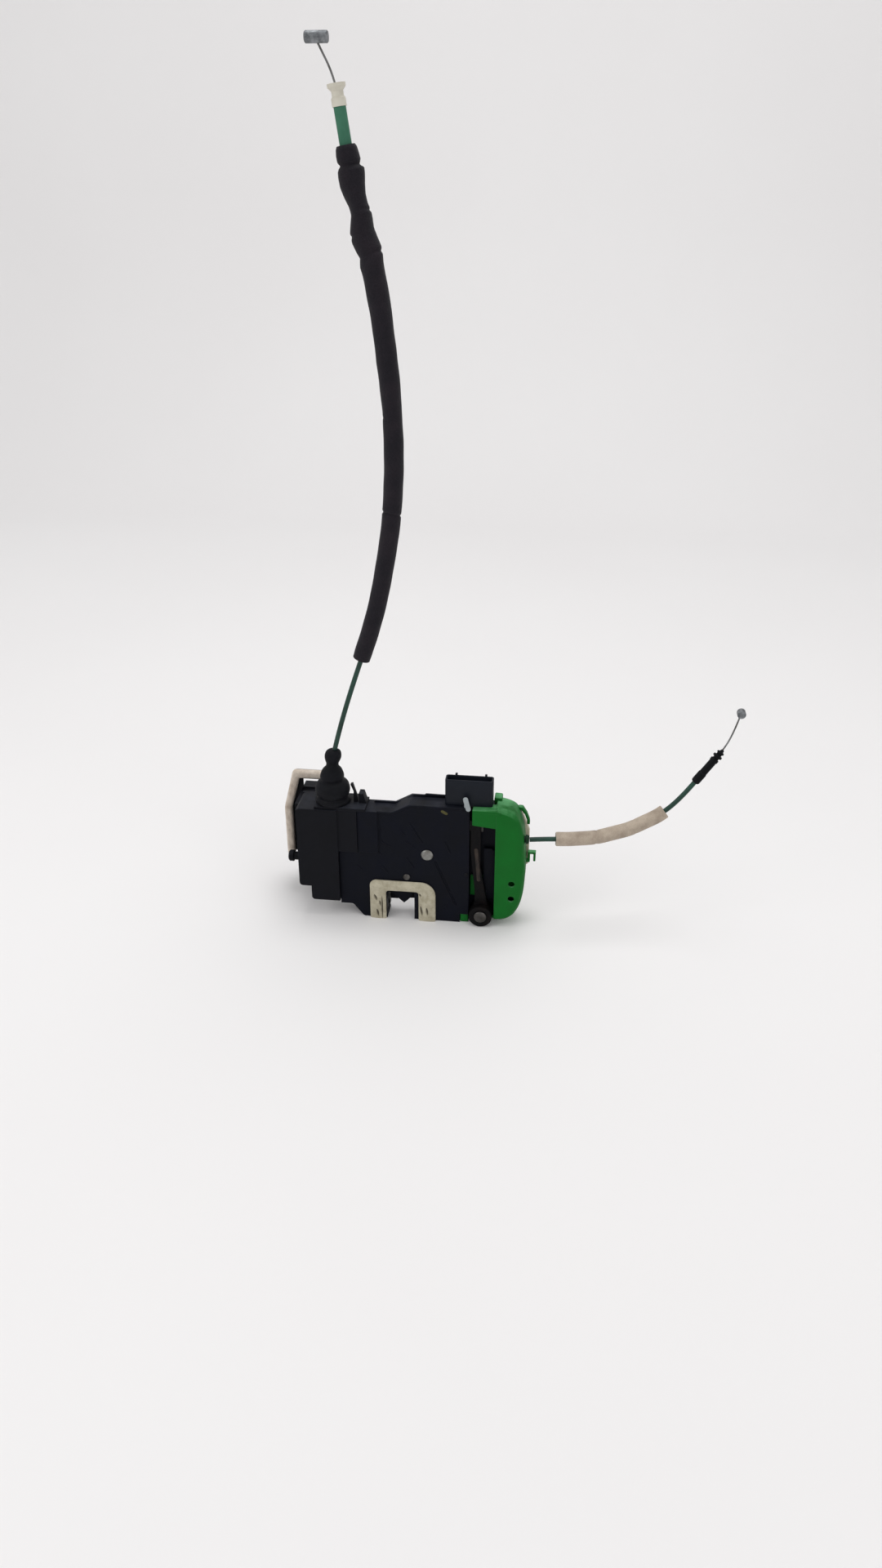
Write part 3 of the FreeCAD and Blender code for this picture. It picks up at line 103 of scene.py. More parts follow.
def addStage(look):
    # floor and wall in one sheet: flat, then a quarter circle, then straight up
    bend = np.linspace(0, np.pi / 2, 24)
    turnAt = look["wallAt"] - look["sweep"]
    away = np.concatenate([[look["floorNear"]], turnAt + look["sweep"] * np.sin(bend), [look["wallAt"]]])
    up = np.concatenate([[0], look["sweep"] * (1 - np.cos(bend)), [look["wallTop"]]])
    across = np.array([-look["half"], look["half"]])
    points = np.stack(np.broadcast_arrays(across[None, :], away[:, None], up[:, None]), -1) * mm
    rows = np.arange(len(away) - 1)
    faces = np.stack([2 * rows, 2 * rows + 1, 2 * rows + 3, 2 * rows + 2], -1)
    mesh = bpy.data.meshes.new("floor")
    mesh.from_pydata((points.reshape(-1, 3) - [0, 0, 0.05 * mm]).tolist(), [], faces.tolist())
    mesh.shade_smooth()
    item = bpy.data.objects.new("floor", mesh)
    bpy.context.scene.collection.objects.link(item)
    # emulsion paint on plaster: dull, with a slow change of tone
    paint, tree, shader, place = startMaterial("whitePaint")
    tone = addNode(tree, "TexNoise", {"Vector": place, "Scale": 1.6, "Detail": 3.0})
    colour = addNode(tree, "MixRGB", {"Fac": tone, "Color1": look["floorColour"], "Color2": look["wallColour"]})
    setInputs(tree, shader, {"Base Color": colour, "Roughness": 0.85})
    mesh.materials.append(paint)


def addLamp(name, place, target, size, power):
    data = bpy.data.lights.new(name, "AREA")
    data.shape = "DISK"
    data.size = size * mm
    data.energy = power
    item = bpy.data.objects.new(name, data)
    item.location = [value * mm for value in place]
    heading = np.array(target, float) - np.array(place, float)
    flat = math.hypot(heading[0], heading[1])
    item.rotation_euler = (math.atan2(flat, -heading[2]), 0, math.atan2(heading[1], heading[0]) - math.pi / 2)
    bpy.context.scene.collection.objects.link(item)


addStage(studio)
world = bpy.data.worlds.new("softRoom")
bpy.context.scene.world = world
world.use_nodes = True
setInputs(world.node_tree, world.node_tree.nodes["Background"],
          {"Color": (1, 1, 1, 1), "Strength": studio["worldStrength"]})
addLamp("ceilingLamp", (100, 250, 1700), (0, 0, 60), 900, 9.0)
addLamp("windowLamp", (-1300, -900, 1300), (0, 0, 60), 1100, 7.0)
addLamp("fillLamp", (1200, -1200, 900), (0, 0, 60), 900, 3.0)
print("camera, floor and lights set")

# meshes from grids of points


def gridQuads(rows, columns, aroundRows=False):
    # quads between neighbours on a grid whose columns close on themselves
    i, j = np.arange(rows if aroundRows else rows - 1)[:, None], np.arange(columns)[None, :]
    across, below = (j + 1) % columns, (i + 1) % rows
    return np.stack(np.broadcast_arrays(i * columns + j, i * columns + across, below * columns + across,
                                        below * columns + j), -1).reshape(-1, 4)


def facesInwards(points, quads, triangles):
    # the sign of the volume, the sum of a . (b x c) over the triangles, tells which way the faces point
    middle = points - points.mean(0)
    halves = np.vstack([quads[:, [0, 1, 2]], quads[:, [0, 2, 3]], triangles])
    a, b, c = middle[halves[:, 0]], middle[halves[:, 1]], middle[halves[:, 2]]
    return np.einsum("ij,ij->", a, np.cross(b, c)) < 0


def shell(points, aroundRows=False):
    # one closed skin over a grid, with a fan of triangles over each open end
    rows, columns = points.shape[:2]
    quads, flat = gridQuads(rows, columns, aroundRows), points.reshape(-1, 3)
    triangles = np.zeros((0, 3), int)
    if not aroundRows:
        ring, base = np.arange(columns), (rows - 1) * columns
        following = np.roll(ring, -1)
        start, end = np.full(columns, len(flat)), np.full(columns, len(flat) + 1)
        triangles = np.vstack([np.stack([start, following, ring], -1),
                               np.stack([end, base + ring, base + following], -1)])
        flat = np.vstack([flat, points[0].mean(0), points[-1].mean(0)])
    if facesInwards(flat, quads, triangles):
        quads, triangles = quads[:, ::-1], triangles[:, ::-1]
    return flat, quads, triangles


def addPiece(name, shells, material, body="case", crease=38.0, laid=None, split=None):
    vertices, faces, base = [], [], 0
    for flat, quads, triangles in shells:
        vertices.append(flat)
        faces += (quads + base).tolist() + (triangles + base).tolist()
        base += len(flat)
    mesh = bpy.data.meshes.new(name)
    mesh.from_pydata((np.vstack(vertices) * mm).tolist(), [], faces)
    mesh.shade_smooth()
    mesh.set_sharp_from_angle(angle=math.radians(crease))
    if laid is not None:
        # each point's place on the straightened cord, in metres
        rest = mesh.attributes.new("laid", "FLOAT_VECTOR", "POINT")
        rest.data.foreach_set("vector", (np.vstack(laid) * mm).astype(np.float32).ravel())
    if split is not None:
        # how far the foam has torn open at each point, 0 to 1
        mark = mesh.attributes.new("split", "FLOAT", "POINT")
        mark.data.foreach_set("value", split.astype(np.float32))
    mesh.materials.append(material)
    item = bpy.data.objects.new(name, mesh)
    bpy.context.scene.collection.objects.link(item)
    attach(item, body)
    return item


def rounded(points, times=2):
    # corner cutting: each pass puts points at a quarter and three quarters of every run, ends kept
    points = np.array(points, float)
    for _ in range(times):
        near = 0.75 * points[:-1] + 0.25 * points[1:]
        far = 0.25 * points[:-1] + 0.75 * points[1:]
        between = np.stack([near, far], 1).reshape(-1, points.shape[1])
        points = np.concatenate([points[:1], between, points[-1:]])
    return points


def lathe(profile, centre, steps):
    # a profile of (radius, height) turned about the Y axis: radius x (cos a, sin a), at its height
    profile = np.array(profile, float)
    angle = np.linspace(0, 2 * np.pi, steps, endpoint=False)
    radius, height = profile[:, 0, None], profile[:, 1, None] + 0 * angle
    turned = np.stack([radius * np.cos(angle), height, radius * np.sin(angle)], -1)
    return shell(turned + np.array(centre, float))


def sideAndOver(line, reference):
    # unit tangent t from differences; side = t x reference; over = side x t
    t = np.gradient(line, axis=0)
    t /= np.linalg.norm(t, axis=1)[:, None]
    side = np.cross(t, np.array(reference, float))
    side /= np.linalg.norm(side, axis=1)[:, None]
    return side, np.cross(side, t)


def tubeGrid(line, radius, reference, steps):
    # line + radius(along, angle) x (cos a side + sin a over)
    angle = np.linspace(0, 2 * np.pi, steps, endpoint=False)[:, None]
    side, over = sideAndOver(line, reference)
    ring = np.cos(angle) * side[:, None, :] + np.sin(angle) * over[:, None, :]
    return line[:, None, :] + np.broadcast_to(radius, ring.shape[:2])[:, :, None] * ring


def measured(line):
    # length along a line of points, from its start
    return np.concatenate([[0], np.cumsum(np.linalg.norm(np.diff(line, axis=0), axis=1))])


def stretch(line, start, end, count):
    # points at even lengths from start to end along the line
    along = measured(line)
    at = np.linspace(start, end, count)
    return np.stack([np.interp(at, along, line[:, k]) for k in range(3)], -1)


def ridge(path, halfWidth, rise, ground=0.0, sunk=0.3):
    # a bead along a path of (x, z) on the face y = ground: across = halfWidth x cos a, forwards by
    # rise x sin a and back into the face by sunk x sin a, both ends drawn in by a quarter circle
    path = np.array(path, float)
    angle = np.linspace(0, 2 * np.pi, 12, endpoint=False)
    along = measured(path)
    total = along[-1]
    quarter = halfWidth * (1 - np.cos(np.linspace(0, np.pi / 2, 5)))
    reach = np.concatenate([quarter, np.linspace(halfWidth, total - halfWidth, max(4, 2 * len(path)))[1:-1],
                            total - quarter[::-1]])
    line = np.stack([np.interp(reach, along, path[:, k]) for k in range(2)], -1)
    closing = np.clip(np.minimum(reach, total - reach) / halfWidth, 0, 1)
    scale = np.sqrt(np.clip(1 - (1 - closing) ** 2, 0.0025, 1))[:, None]
    t = np.gradient(line, axis=0)
    t /= np.linalg.norm(t, axis=1)[:, None]
    normal = np.stack([-t[:, 1], t[:, 0]], -1)
    lift = np.where(np.sin(angle) > 0, rise, sunk) * np.sin(angle)
    flat = line[:, None, :] + halfWidth * scale[:, :, None] * np.cos(angle)[None, :, None] * normal[:, None, :]
    return shell(np.stack([flat[:, :, 0], ground - scale * lift, flat[:, :, 1]], -1))


def filleted(corners, radii, leg=26, arc=14):
    # straight runs joined by arcs, with the same number of points on each, so that two such lines pair up
    corners = np.array(corners, float)
    parts, here = [], corners[0]
    for before, corner, after, radius in zip(corners, corners[1:], corners[2:], radii):
        back = (before - corner) / np.linalg.norm(before - corner)
        ahead = (after - corner) / np.linalg.norm(after - corner)
        half = np.arccos(np.clip(back @ ahead, -1, 1)) / 2
        centre = corner + (back + ahead) / np.linalg.norm(back + ahead) * radius / np.sin(half)
        start, end = corner + back * radius / np.tan(half), corner + ahead * radius / np.tan(half)
        sweep = np.linspace(0, 1, arc)[:, None]
        first, last = start - centre, end - centre
        spread = np.arccos(np.clip(first @ last / radius ** 2, -1, 1))
        blend = np.sin((1 - sweep) * spread) * first + np.sin(sweep * spread) * last
        parts.append(here + (start - here) * np.linspace(0, 1, leg)[:-1, None])
        parts.append(centre + blend[:-1] / np.sin(spread))
        here = end
    parts.append(here + (corners[-1] - here) * np.linspace(0, 1, leg)[:, None])
    return np.concatenate(parts)


def ringLine(corners, radius, leg=8, arc=8):
    # a closed line with rounded corners, started in the middle of its first side
    middle = ((corners[0][0] + corners[1][0]) / 2, (corners[0][1] + corners[1][1]) / 2)
    loop = [middle] + list(corners[1:]) + [corners[0], middle]
    return filleted(loop, [radius] * (len(loop) - 2), leg=leg, arc=arc)[:-1]


def prism(outline, low, high, edge, along="Y"):
    # a flat outline carried from low to high, its two rims drawn in by edge x (1 - cos t) over edge x sin t
    t = np.gradient(np.vstack([outline[-1:], outline, outline[:1]]), axis=0)[1:-1]
    t /= np.linalg.norm(t, axis=1)[:, None]
    inward = np.stack([-t[:, 1], t[:, 0]], -1)
    area = np.sum(outline[:, 0] * np.roll(outline[:, 1], -1) - np.roll(outline[:, 0], -1) * outline[:, 1])
    inward = inward if area > 0 else -inward
    turn = np.linspace(0, np.pi / 2, 4)
    inset = np.concatenate([edge * (1 - np.sin(turn)), edge * (1 - np.cos(turn))])
    level = np.concatenate([low + edge * (1 - np.cos(turn)), high - edge * (1 - np.sin(turn))])
    flat = outline[None] + inset[:, None, None] * inward[None]
    height = np.broadcast_to(level[:, None], flat.shape[:2])
    order = {"Y": (flat[:, :, 0], height, flat[:, :, 1]), "Z": (flat[:, :, 0], flat[:, :, 1], height),
             "X": (height, flat[:, :, 0], flat[:, :, 1])}[along]
    rows, columns = height.shape
    points, quads = np.stack(order, -1).reshape(-1, 3), gridQuads(rows, columns)
    # both ends are single faces
    caps = np.stack([np.arange(columns)[::-1], (rows - 1) * columns + np.arange(columns)])
    fans = [np.stack([np.full(columns - 2, cap[0]), cap[1:-1], cap[2:]], -1) for cap in caps]
    if facesInwards(points, quads, np.vstack(fans)):
        quads, caps = quads[:, ::-1], caps[:, ::-1]
    return points, quads, caps


def foamBand(inner, outer, near, far, look):
    # foam cut from sheet: its section is a rectangle with quarter circles of radius edge at the corners,
    # share runs from the inner line to the outer one, and the front falls by crown x (2 share - 1)^2
    edge, crown, face = look["edge"], look["crown"], look["face"]
    wide, deep = np.linalg.norm(outer - inner, axis=1)[:, None], abs(far - near)
    s, c = np.sin(np.linspace(0, np.pi / 2, 7)), np.cos(np.linspace(0, np.pi / 2, 7))
    run, rest, zero, one = np.linspace(0, 1, face)[1:-1], np.array([0.75, 0.5, 0.25]), 0 * s, 0 * s + 1
    # share = fixed + perEdge x edge / wide; depth = level + perRim x edge / deep
    fixed = np.concatenate([zero, zero, run, one, one, rest])
    perEdge = np.concatenate([1 - s, 1 - c, 1 - 2 * run, s - 1, c - 1, 1 - 2 * rest])
    level = np.concatenate([zero, one, 0 * run + 1, one, zero, 0 * rest])
    perRim = np.concatenate([1 - c, s - 1, 0 * run, c - 1, 1 - s, 0 * rest])
    share = fixed + perEdge * edge / wide
    depth = np.broadcast_to(level + perRim * edge / deep, share.shape)
    flat = inner[:, None, :] + (outer - inner)[:, None, :] * share[:, :, None]
    y = near + (far - near) * depth * (1 - crown / deep * (2 * share - 1) ** 2)
    return np.stack([flat[:, :, 0], y, flat[:, :, 1]], -1), depth


# materials


def mouldedPlastic(name, look):
    # plastic moulded against a spark-eroded tool: a dull fine grain, paler where edges are rubbed,
    # with dust and painted light on what faces up; the grain is drawn at 0.5 mm, coarser than the real 0.1 mm,
    # to show
    material, tree, shader, place = startMaterial(name)
    own = addNode(tree, "NewGeometry").outputs["Normal"]
    eased = addNode(tree, "Bevel", {"Radius": look["edge"] * mm}, samples=6)
    grain = addNode(tree, "TexNoise", {"Vector": place, "Scale": 1 / (look["grain"] * mm), "Detail": 3.0,
                                       "Roughness": 0.65})
    clouds = addNode(tree, "TexNoise", {"Vector": place, "Scale": 1 / (look["cloud"] * mm), "Detail": 5.0,
                                        "Roughness": 0.62})
    tone = addNode(tree, "MapRange", {"Value": clouds, "From Min": 0.32, "From Max": 0.68})
    base = addNode(tree, "MixRGB", {"Fac": tone, "Color1": look["dark"], "Color2": look["colour"]})
    # an edge is where the eased normal leaves the face's own
    same = addNode(tree, "VectorMath", {0: eased, 1: own}, operation="DOT_PRODUCT").outputs["Value"]
    edge = addNode(tree, "MapRange", {"Value": same, "From Min": 0.985, "From Max": 0.8,
                                      "To Max": look["rubs"]})
    patchy = addNode(tree, "MapRange", {"Value": grain, "From Min": 0.4, "From Max": 0.6})
    rubbed = addNode(tree, "Math", {0: edge, 1: patchy}, operation="MULTIPLY")
    worn = addNode(tree, "MixRGB", {"Fac": rubbed, "Color1": base, "Color2": look["pale"]})
    # faces that point up are painted paler: partly dust, partly painted light on the top
    height = addNode(tree, "SeparateXYZ", {"Vector": own}).outputs["Z"]
    level = addNode(tree, "MapRange", {"Value": height, "From Min": 0.35, "From Max": 0.95,
                                       "To Max": look["dustAndLitTop"]})
    dustAndLitTopShare = addNode(tree, "Math", {0: level, 1: tone}, operation="MULTIPLY")
    dustAndLitTopMixed = addNode(tree, "MixRGB", {"Fac": dustAndLitTopShare, "Color1": worn, "Color2": look["dustAndLitTopColour"]})
    low, high = look["roughness"]
    rough = addNode(tree, "MapRange", {"Value": clouds, "From Min": 0.3, "From Max": 0.7, "To Min": low,
                                       "To Max": high})
    bump = addNode(tree, "Bump", {"Height": grain, "Strength": 0.7, "Normal": eased, "Distance": 0.05 * mm})
    setInputs(tree, shader, {"Base Color": dustAndLitTopMixed, "Roughness": rough, "Normal": bump, "IOR": look["ior"],
                             "Specular IOR Level": look["specular"]})
    return material


def rolledSteel(name, look):
    # rolled, drawn or turned metal: fine lines along it, drawn 0.3 mm apart so that they show,
    # and blots where plating or oil has dulled
    material, tree, shader, place = startMaterial(name)
    eased = addNode(tree, "Bevel", {"Radius": 0.3 * mm}, samples=4)
    drawn = addNode(tree, "Mapping", {"Vector": place, "Scale": look["drawn"]})
    lines = addNode(tree, "TexNoise", {"Vector": drawn, "Scale": 1 / (look["line"] * mm), "Detail": 2.0})
    blots = addNode(tree, "TexNoise", {"Vector": place, "Scale": 1 / (look["blot"] * mm), "Detail": 5.0,
                                       "Roughness": 0.65})
    stain = addNode(tree, "MapRange", {"Value": blots, "From Min": 0.38, "From Max": 0.68})
    base = addNode(tree, "MixRGB", {"Fac": stain, "Color1": look["colour"], "Color2": look["stain"]})
    low, high = look["roughness"]
    rough = addNode(tree, "MapRange", {"Value": blots, "From Min": 0.3, "From Max": 0.7, "To Min": low,
                                       "To Max": high})
    bump = addNode(tree, "Bump", {"Height": lines, "Strength": 0.5, "Normal": eased,
                                  "Distance": look["depth"] * mm})
    setInputs(tree, shader, {"Base Color": base, "Metallic": 1.0, "Roughness": rough, "Normal": bump})
    return material


def cellFoam(name, look):
    # open-cell polyurethane: every cell a small pit with painted shade in it, soil in clouds, a soft sheen from
    # the cut skin
    material, tree, shader, place = startMaterial(name)
    if look["laid"]:
        place = addNode(tree, "Attribute", attribute_name="laid").outputs["Vector"]
    cells = addNode(tree, "TexVoronoi", {"Vector": place, "Scale": 1 / (look["cell"] * mm)})
    clouds = addNode(tree, "TexNoise", {"Vector": place, "Scale": 1 / (look["cloud"] * mm), "Detail": 5.0,
                                        "Roughness": 0.62})
    soiled = addNode(tree, "MapRange", {"Value": clouds, "From Min": 0.4, "From Max": 0.7})
    base = addNode(tree, "MixRGB", {"Fac": soiled, "Color1": look["colour"], "Color2": look["soil"]})
    # each cell's pit is painted darker with the deep colour, as the shade that falls in it
    pitShadeMask = addNode(tree, "MapRange", {"Value": cells, "From Min": 0.5, "From Max": 0.1, "To Max": look["pitShadeAmount"]})
    pitShaded = addNode(tree, "MixRGB", {"Fac": pitShadeMask, "Color1": base, "Color2": look["deep"]})
    # the split attribute marks where the foam has torn open; the colour there is painted shade in the slit
    split = addNode(tree, "Attribute", attribute_name="split").outputs["Fac"]
    tearShade = addNode(tree, "MixRGB", {"Fac": split, "Color1": pitShaded, "Color2": look["tearShade"]})
    fuzz = addNode(tree, "TexNoise", {"Vector": place, "Scale": 1 / (look["cell"] * 3 * mm), "Detail": 3.0})
    height = addNode(tree, "Math", {0: cells, 1: fuzz}, operation="ADD")
    bump = addNode(tree, "Bump", {"Height": height, "Strength": 0.8, "Distance": 0.18 * mm})
    setInputs(tree, shader, {"Base Color": tearShade, "Roughness": 0.95, "Normal": bump,
                             "Sheen Weight": look["sheen"], "Sheen Roughness": 0.5,
                             "Specular IOR Level": 0.2})
    return material


def greasyPaint(name, look):
    # black paint on pressed steel, brown with old grease, reddish towards its outer side at +x
    material, tree, shader, place = startMaterial(name)
    eased = addNode(tree, "Bevel", {"Radius": 0.6 * mm}, samples=6)
    smear = addNode(tree, "TexNoise", {"Vector": place, "Scale": 1 / (look["smear"] * mm), "Detail": 5.0,
                                       "Roughness": 0.65})
    crumbs = addNode(tree, "TexNoise", {"Vector": place, "Scale": 1 / (look["crumb"] * mm), "Detail": 3.0})
    greasy = addNode(tree, "MapRange", {"Value": smear, "From Min": 0.35, "From Max": 0.65})
    base = addNode(tree, "MixRGB", {"Fac": greasy, "Color1": look["paint"], "Color2": look["grease"]})
    across = addNode(tree, "SeparateXYZ", {"Vector": place}).outputs["X"]
    outer = addNode(tree, "MapRange", {"Value": across, "From Min": look["rustFrom"] * mm,
                                       "From Max": look["rustTo"] * mm, "To Max": 0.7})
    rusty = addNode(tree, "Math", {0: outer, 1: greasy}, operation="MULTIPLY")
    tinted = addNode(tree, "MixRGB", {"Fac": rusty, "Color1": base, "Color2": look["rust"]})
    rough = addNode(tree, "MapRange", {"Value": smear, "From Min": 0.3, "From Max": 0.7, "To Min": 0.3,
                                       "To Max": 0.6})
    bump = addNode(tree, "Bump", {"Height": crumbs, "Strength": 0.6, "Normal": eased, "Distance": 0.12 * mm})
    setInputs(tree, shader, {"Base Color": tinted, "Roughness": rough, "Normal": bump,
                             "Specular IOR Level": look["specular"]})
    return material


def softRubber(name, look):
    # moulded rubber: dull and even, bloomed grey in broad patches, with a fine skin
    material, tree, shader, place = startMaterial(name)
    bloom = addNode(tree, "TexNoise", {"Vector": place, "Scale": 1 / (look["patch"] * mm), "Detail": 5.0,
                                       "Roughness": 0.6})
    skin = addNode(tree, "TexNoise", {"Vector": place, "Scale": 1 / (look["skin"] * mm), "Detail": 2.0})
    pale = addNode(tree, "MapRange", {"Value": bloom, "From Min": 0.42, "From Max": 0.7})
    base = addNode(tree, "MixRGB", {"Fac": pale, "Color1": look["colour"], "Color2": look["bloom"]})
    rough = addNode(tree, "MapRange", {"Value": bloom, "From Min": 0.3, "From Max": 0.7, "To Min": 0.5,
                                       "To Max": 0.75})
    bump = addNode(tree, "Bump", {"Height": skin, "Strength": 0.6, "Distance": 0.04 * mm})
    setInputs(tree, shader, {"Base Color": base, "Roughness": rough, "Normal": bump, "IOR": 1.52,
                             "Specular IOR Level": 0.12})
    return material


def drawnJacket(name, look):
    # extruded polypropylene: satin, with die lines and finger marks
    material, tree, shader, place = startMaterial(name)
    marks = addNode(tree, "TexNoise", {"Vector": place, "Scale": 1 / (look["mark"] * mm), "Detail": 5.0,
                                       "Roughness": 0.6})
    drawn = addNode(tree, "Mapping", {"Vector": place, "Scale": (1, 1, 0.04)})
    lines = addNode(tree, "TexNoise", {"Vector": drawn, "Scale": 1 / (look["line"] * mm), "Detail": 2.0})
    marked = addNode(tree, "MapRange", {"Value": marks, "From Min": 0.35, "From Max": 0.7})
    base = addNode(tree, "MixRGB", {"Fac": marked, "Color1": look["colour"], "Color2": look["marked"]})
    rough = addNode(tree, "MapRange", {"Value": marks, "From Min": 0.3, "From Max": 0.7, "To Min": 0.3,
                                       "To Max": 0.48})
    bump = addNode(tree, "Bump", {"Height": lines, "Strength": 0.4, "Distance": 0.03 * mm})
    setInputs(tree, shader, {"Base Color": base, "Roughness": rough, "Normal": bump, "IOR": 1.49,
                             "Specular IOR Level": 0.35})
    return material


# lengths are in mm: grain, clouds, blots and so on give the size of each pattern
# the dust colour and share also paint up-facing faces paler, standing in for the light on a top
black = dict(colour="#090c18", dark="#060810", pale="#343842", dustAndLitTopColour="#3c3f48", grain=0.5, cloud=22.0,
             edge=0.8, rubs=0.3, dustAndLitTop=0.45, roughness=(0.45, 0.65), ior=1.53, specular=0.1)
steel = dict(drawn=(0.07, 1, 1), line=0.3, blot=9.0, depth=0.02)
leverPaint = dict(smear=6.0, crumb=0.8, rustFrom=57.0, rustTo=61.0)
rubber = dict(patch=8.0, skin=0.4)
# the foam's pit and tear colours are painted shade in its cells and slits
foam = dict(cell=0.55, cloud=7.0, pitShadeAmount=0.35, sheen=0.15, laid=False, tearShade="#4a4336")
finishes = {
    "case": mouldedPlastic("casePolyamide", black),
    "box": mouldedPlastic("boxPolyamide", dict(black, colour="#101117", dark="#0a0b10")),
    "socket": mouldedPlastic("socketPolyester", dict(black, colour="#131821", dark="#0f131b", dustAndLitTop=0.2,
                                                     edge=0.5, roughness=(0.35, 0.5), ior=1.57,
                                                     specular=0.14)),
    "ferrule": mouldedPlastic("ferruleAcetal", dict(black, colour="#101114", dark="#0b0c0e", edge=0.2, rubs=0.2,
                                                    dustAndLitTop=0.2, ior=1.48)),
    # the green's pale up-facing colour is mostly painted light on its top, with some dust
    "green": mouldedPlastic("greenPolyamide", dict(black, colour="#0c6420", dark="#0a5a1b", pale="#4f9a5e",
                                                   dustAndLitTopColour="#74bb83", edge=1.8, dustAndLitTop=0.75, specular=0.12)),
    "dark_green": mouldedPlastic("darkGreenPolyamide", dict(black, colour="#15321f", dark="#102617", edge=0.3,
                                                            dustAndLitTop=0.2)),
    "sage": mouldedPlastic("sageAcetal", dict(black, colour="#467862", dark="#3a6853", pale="#8aa392", edge=0.3,
                                              dustAndLitTop=0.2, roughness=(0.35, 0.5), ior=1.48)),
    "nylon": mouldedPlastic("naturalNylon", dict(black, colour="#d3cfc2", dark="#c2bcac", pale="#e8e4d8",
                                                 dustAndLitTopColour="#b5ab97", edge=0.3, dustAndLitTop=0.3,
                                                 roughness=(0.35, 0.5), specular=0.4)),
    "bright_nylon": mouldedPlastic("whiteClipNylon", dict(black, colour="#a3abad", dark="#8a9295",
                                                          pale="#e0e2e2", dustAndLitTopColour="#a7a8a4", edge=0.3,
                                                          dustAndLitTop=0.2, specular=0.4)),
    "steel_zinc": rolledSteel("zincPlatedSteel", dict(steel, colour="#9fa09e", stain="#716f6a",
                                                      roughness=(0.3, 0.48))),
    "steel_dark": rolledSteel("oiledSteel", dict(steel, colour="#5a5856", stain="#35322f",
                                                 roughness=(0.3, 0.5))),
    "spring_steel": rolledSteel("springSteel", dict(steel, colour="#a5a4a2", stain="#77736e",
                                                    roughness=(0.22, 0.38))),
    "brass": rolledSteel("turnedBrass", dict(steel, colour="#c2a25a", stain="#97793d", roughness=(0.22, 0.38))),
    "tin": rolledSteel("tinnedBronze", dict(steel, colour="#cdccc6", stain="#b0aca2", roughness=(0.25, 0.4))),
    "zinc_cast": rolledSteel("castZinc", dict(steel, drawn=(1, 1, 1), blot=3.5, depth=0.06, colour="#8d9093",
                                              stain="#5d6063", roughness=(0.35, 0.55))),
    "wire": rolledSteel("strandedSteel", dict(steel, colour="#8f9091", stain="#5f5d5a",
                                              roughness=(0.28, 0.44))),
    "lever": greasyPaint("greasyPaint", dict(leverPaint, paint="#08090b", grease="#110f10", rust="#191312",
                                             specular=0.08)),
    # the bead's paler paint is partly rubbed paint, partly a painted highlight along the ridge
    "rubbed_paint_and_highlight": greasyPaint("rubbedPaintAndHighlight", dict(leverPaint, paint="#1c1816", grease="#3b322c",
                                                  rust="#2a201d", specular=0.2)),
    "rubber": softRubber("bootRubber", dict(rubber, colour="#090a0f", bloom="#14151a")),
    "glue": softRubber("oldGlue", dict(rubber, colour="#4d4a2c", bloom="#6b6748")),
    "conduit": drawnJacket("greenJacket", dict(colour="#0e2c23", marked="#20473b", mark=12.0, line=0.4)),
    "foam": cellFoam("creamFoam", dict(foam, colour="#c0baa5", soil="#9d957f", deep="#7d7562")),
    # a paler copy of the cream foam for the side seal: painted lighter as the light on its face
    "side_foam_painted_lit": cellFoam("sideFoamPaintedLit", dict(foam, colour="#d6cabd", soil="#b7a899", deep="#8f8073")),
    "foam_sleeve": cellFoam("beigeFoam", dict(foam, colour="#b5a797", soil="#998b7c", deep="#786c60", cell=0.6,
                                              cloud=9.0, laid=True)),
    "black_foam": cellFoam("blackFoam", dict(foam, colour="#1b191f", soil="#241f25", deep="#0c0b0e", cell=0.7,
                                             cloud=16.0, pitShadeAmount=0.5, sheen=0.08, laid=True)),
}
print("materials made")

# cords

# the route's points are the ones that the solid cable is swept along
longCable = dict(points=[(-47.0, 10, 133.2), (-42.0, 10, 152.5), (-32.3, 10, 183.5), (-18.8, 10, 222.5),
                         (-8.1, 10, 265), (-1.6, 10, 308), (0.3, 10, 350), (-1.4, 10, 392), (-7.2, 10, 433),
                         (-16.7, 10, 469), (-21.0, 10, 489.5), (-24.4, 10, 508.2)],
                 radius=1.75, tip=[(-29.2, 10, 540.7), (-38.2, 10, 558.6)])
shortCable = dict(points=[(93.5, 5, 71.8), (103, 5.4, 72.7), (121.2, 7.6, 72.6), (141, 12, 72.8),
                          (161, 17.2, 77.2), (179.5, 22, 84.6), (196.5, 26.5, 97.2), (207.6, 30, 112.6)],
                  radius=1.75, tip=[(224.4, 34, 136.0), (229.9, 35.2, 147.0), (234.0, 36.6, 161.3)])


def cableCurve(name, points, radius):
    data = bpy.data.curves.new(name, "CURVE")
    data.dimensions = "3D"
    data.resolution_u = 16
    spline = data.splines.new("NURBS")
    spline.points.add(len(points) - 1)
    for point, place in zip(spline.points, points):
        point.co = [value * mm for value in place] + [1.0]
    spline.order_u = 3
    spline.use_endpoint_u = True
    item = bpy.data.objects.new(name, data)
    bpy.context.scene.collection.objects.link(item)
    bpy.context.view_layer.update()
    bare = bpy.data.meshes.new_from_object(item)
    line = np.zeros(3 * len(bare.vertices))
    bare.vertices.foreach_get("co", line)
    bpy.data.meshes.remove(bare)
    data.bevel_depth = radius * mm
    data.bevel_resolution = 5
    data.use_fill_caps = True
    return item, line.reshape(-1, 3) / mm


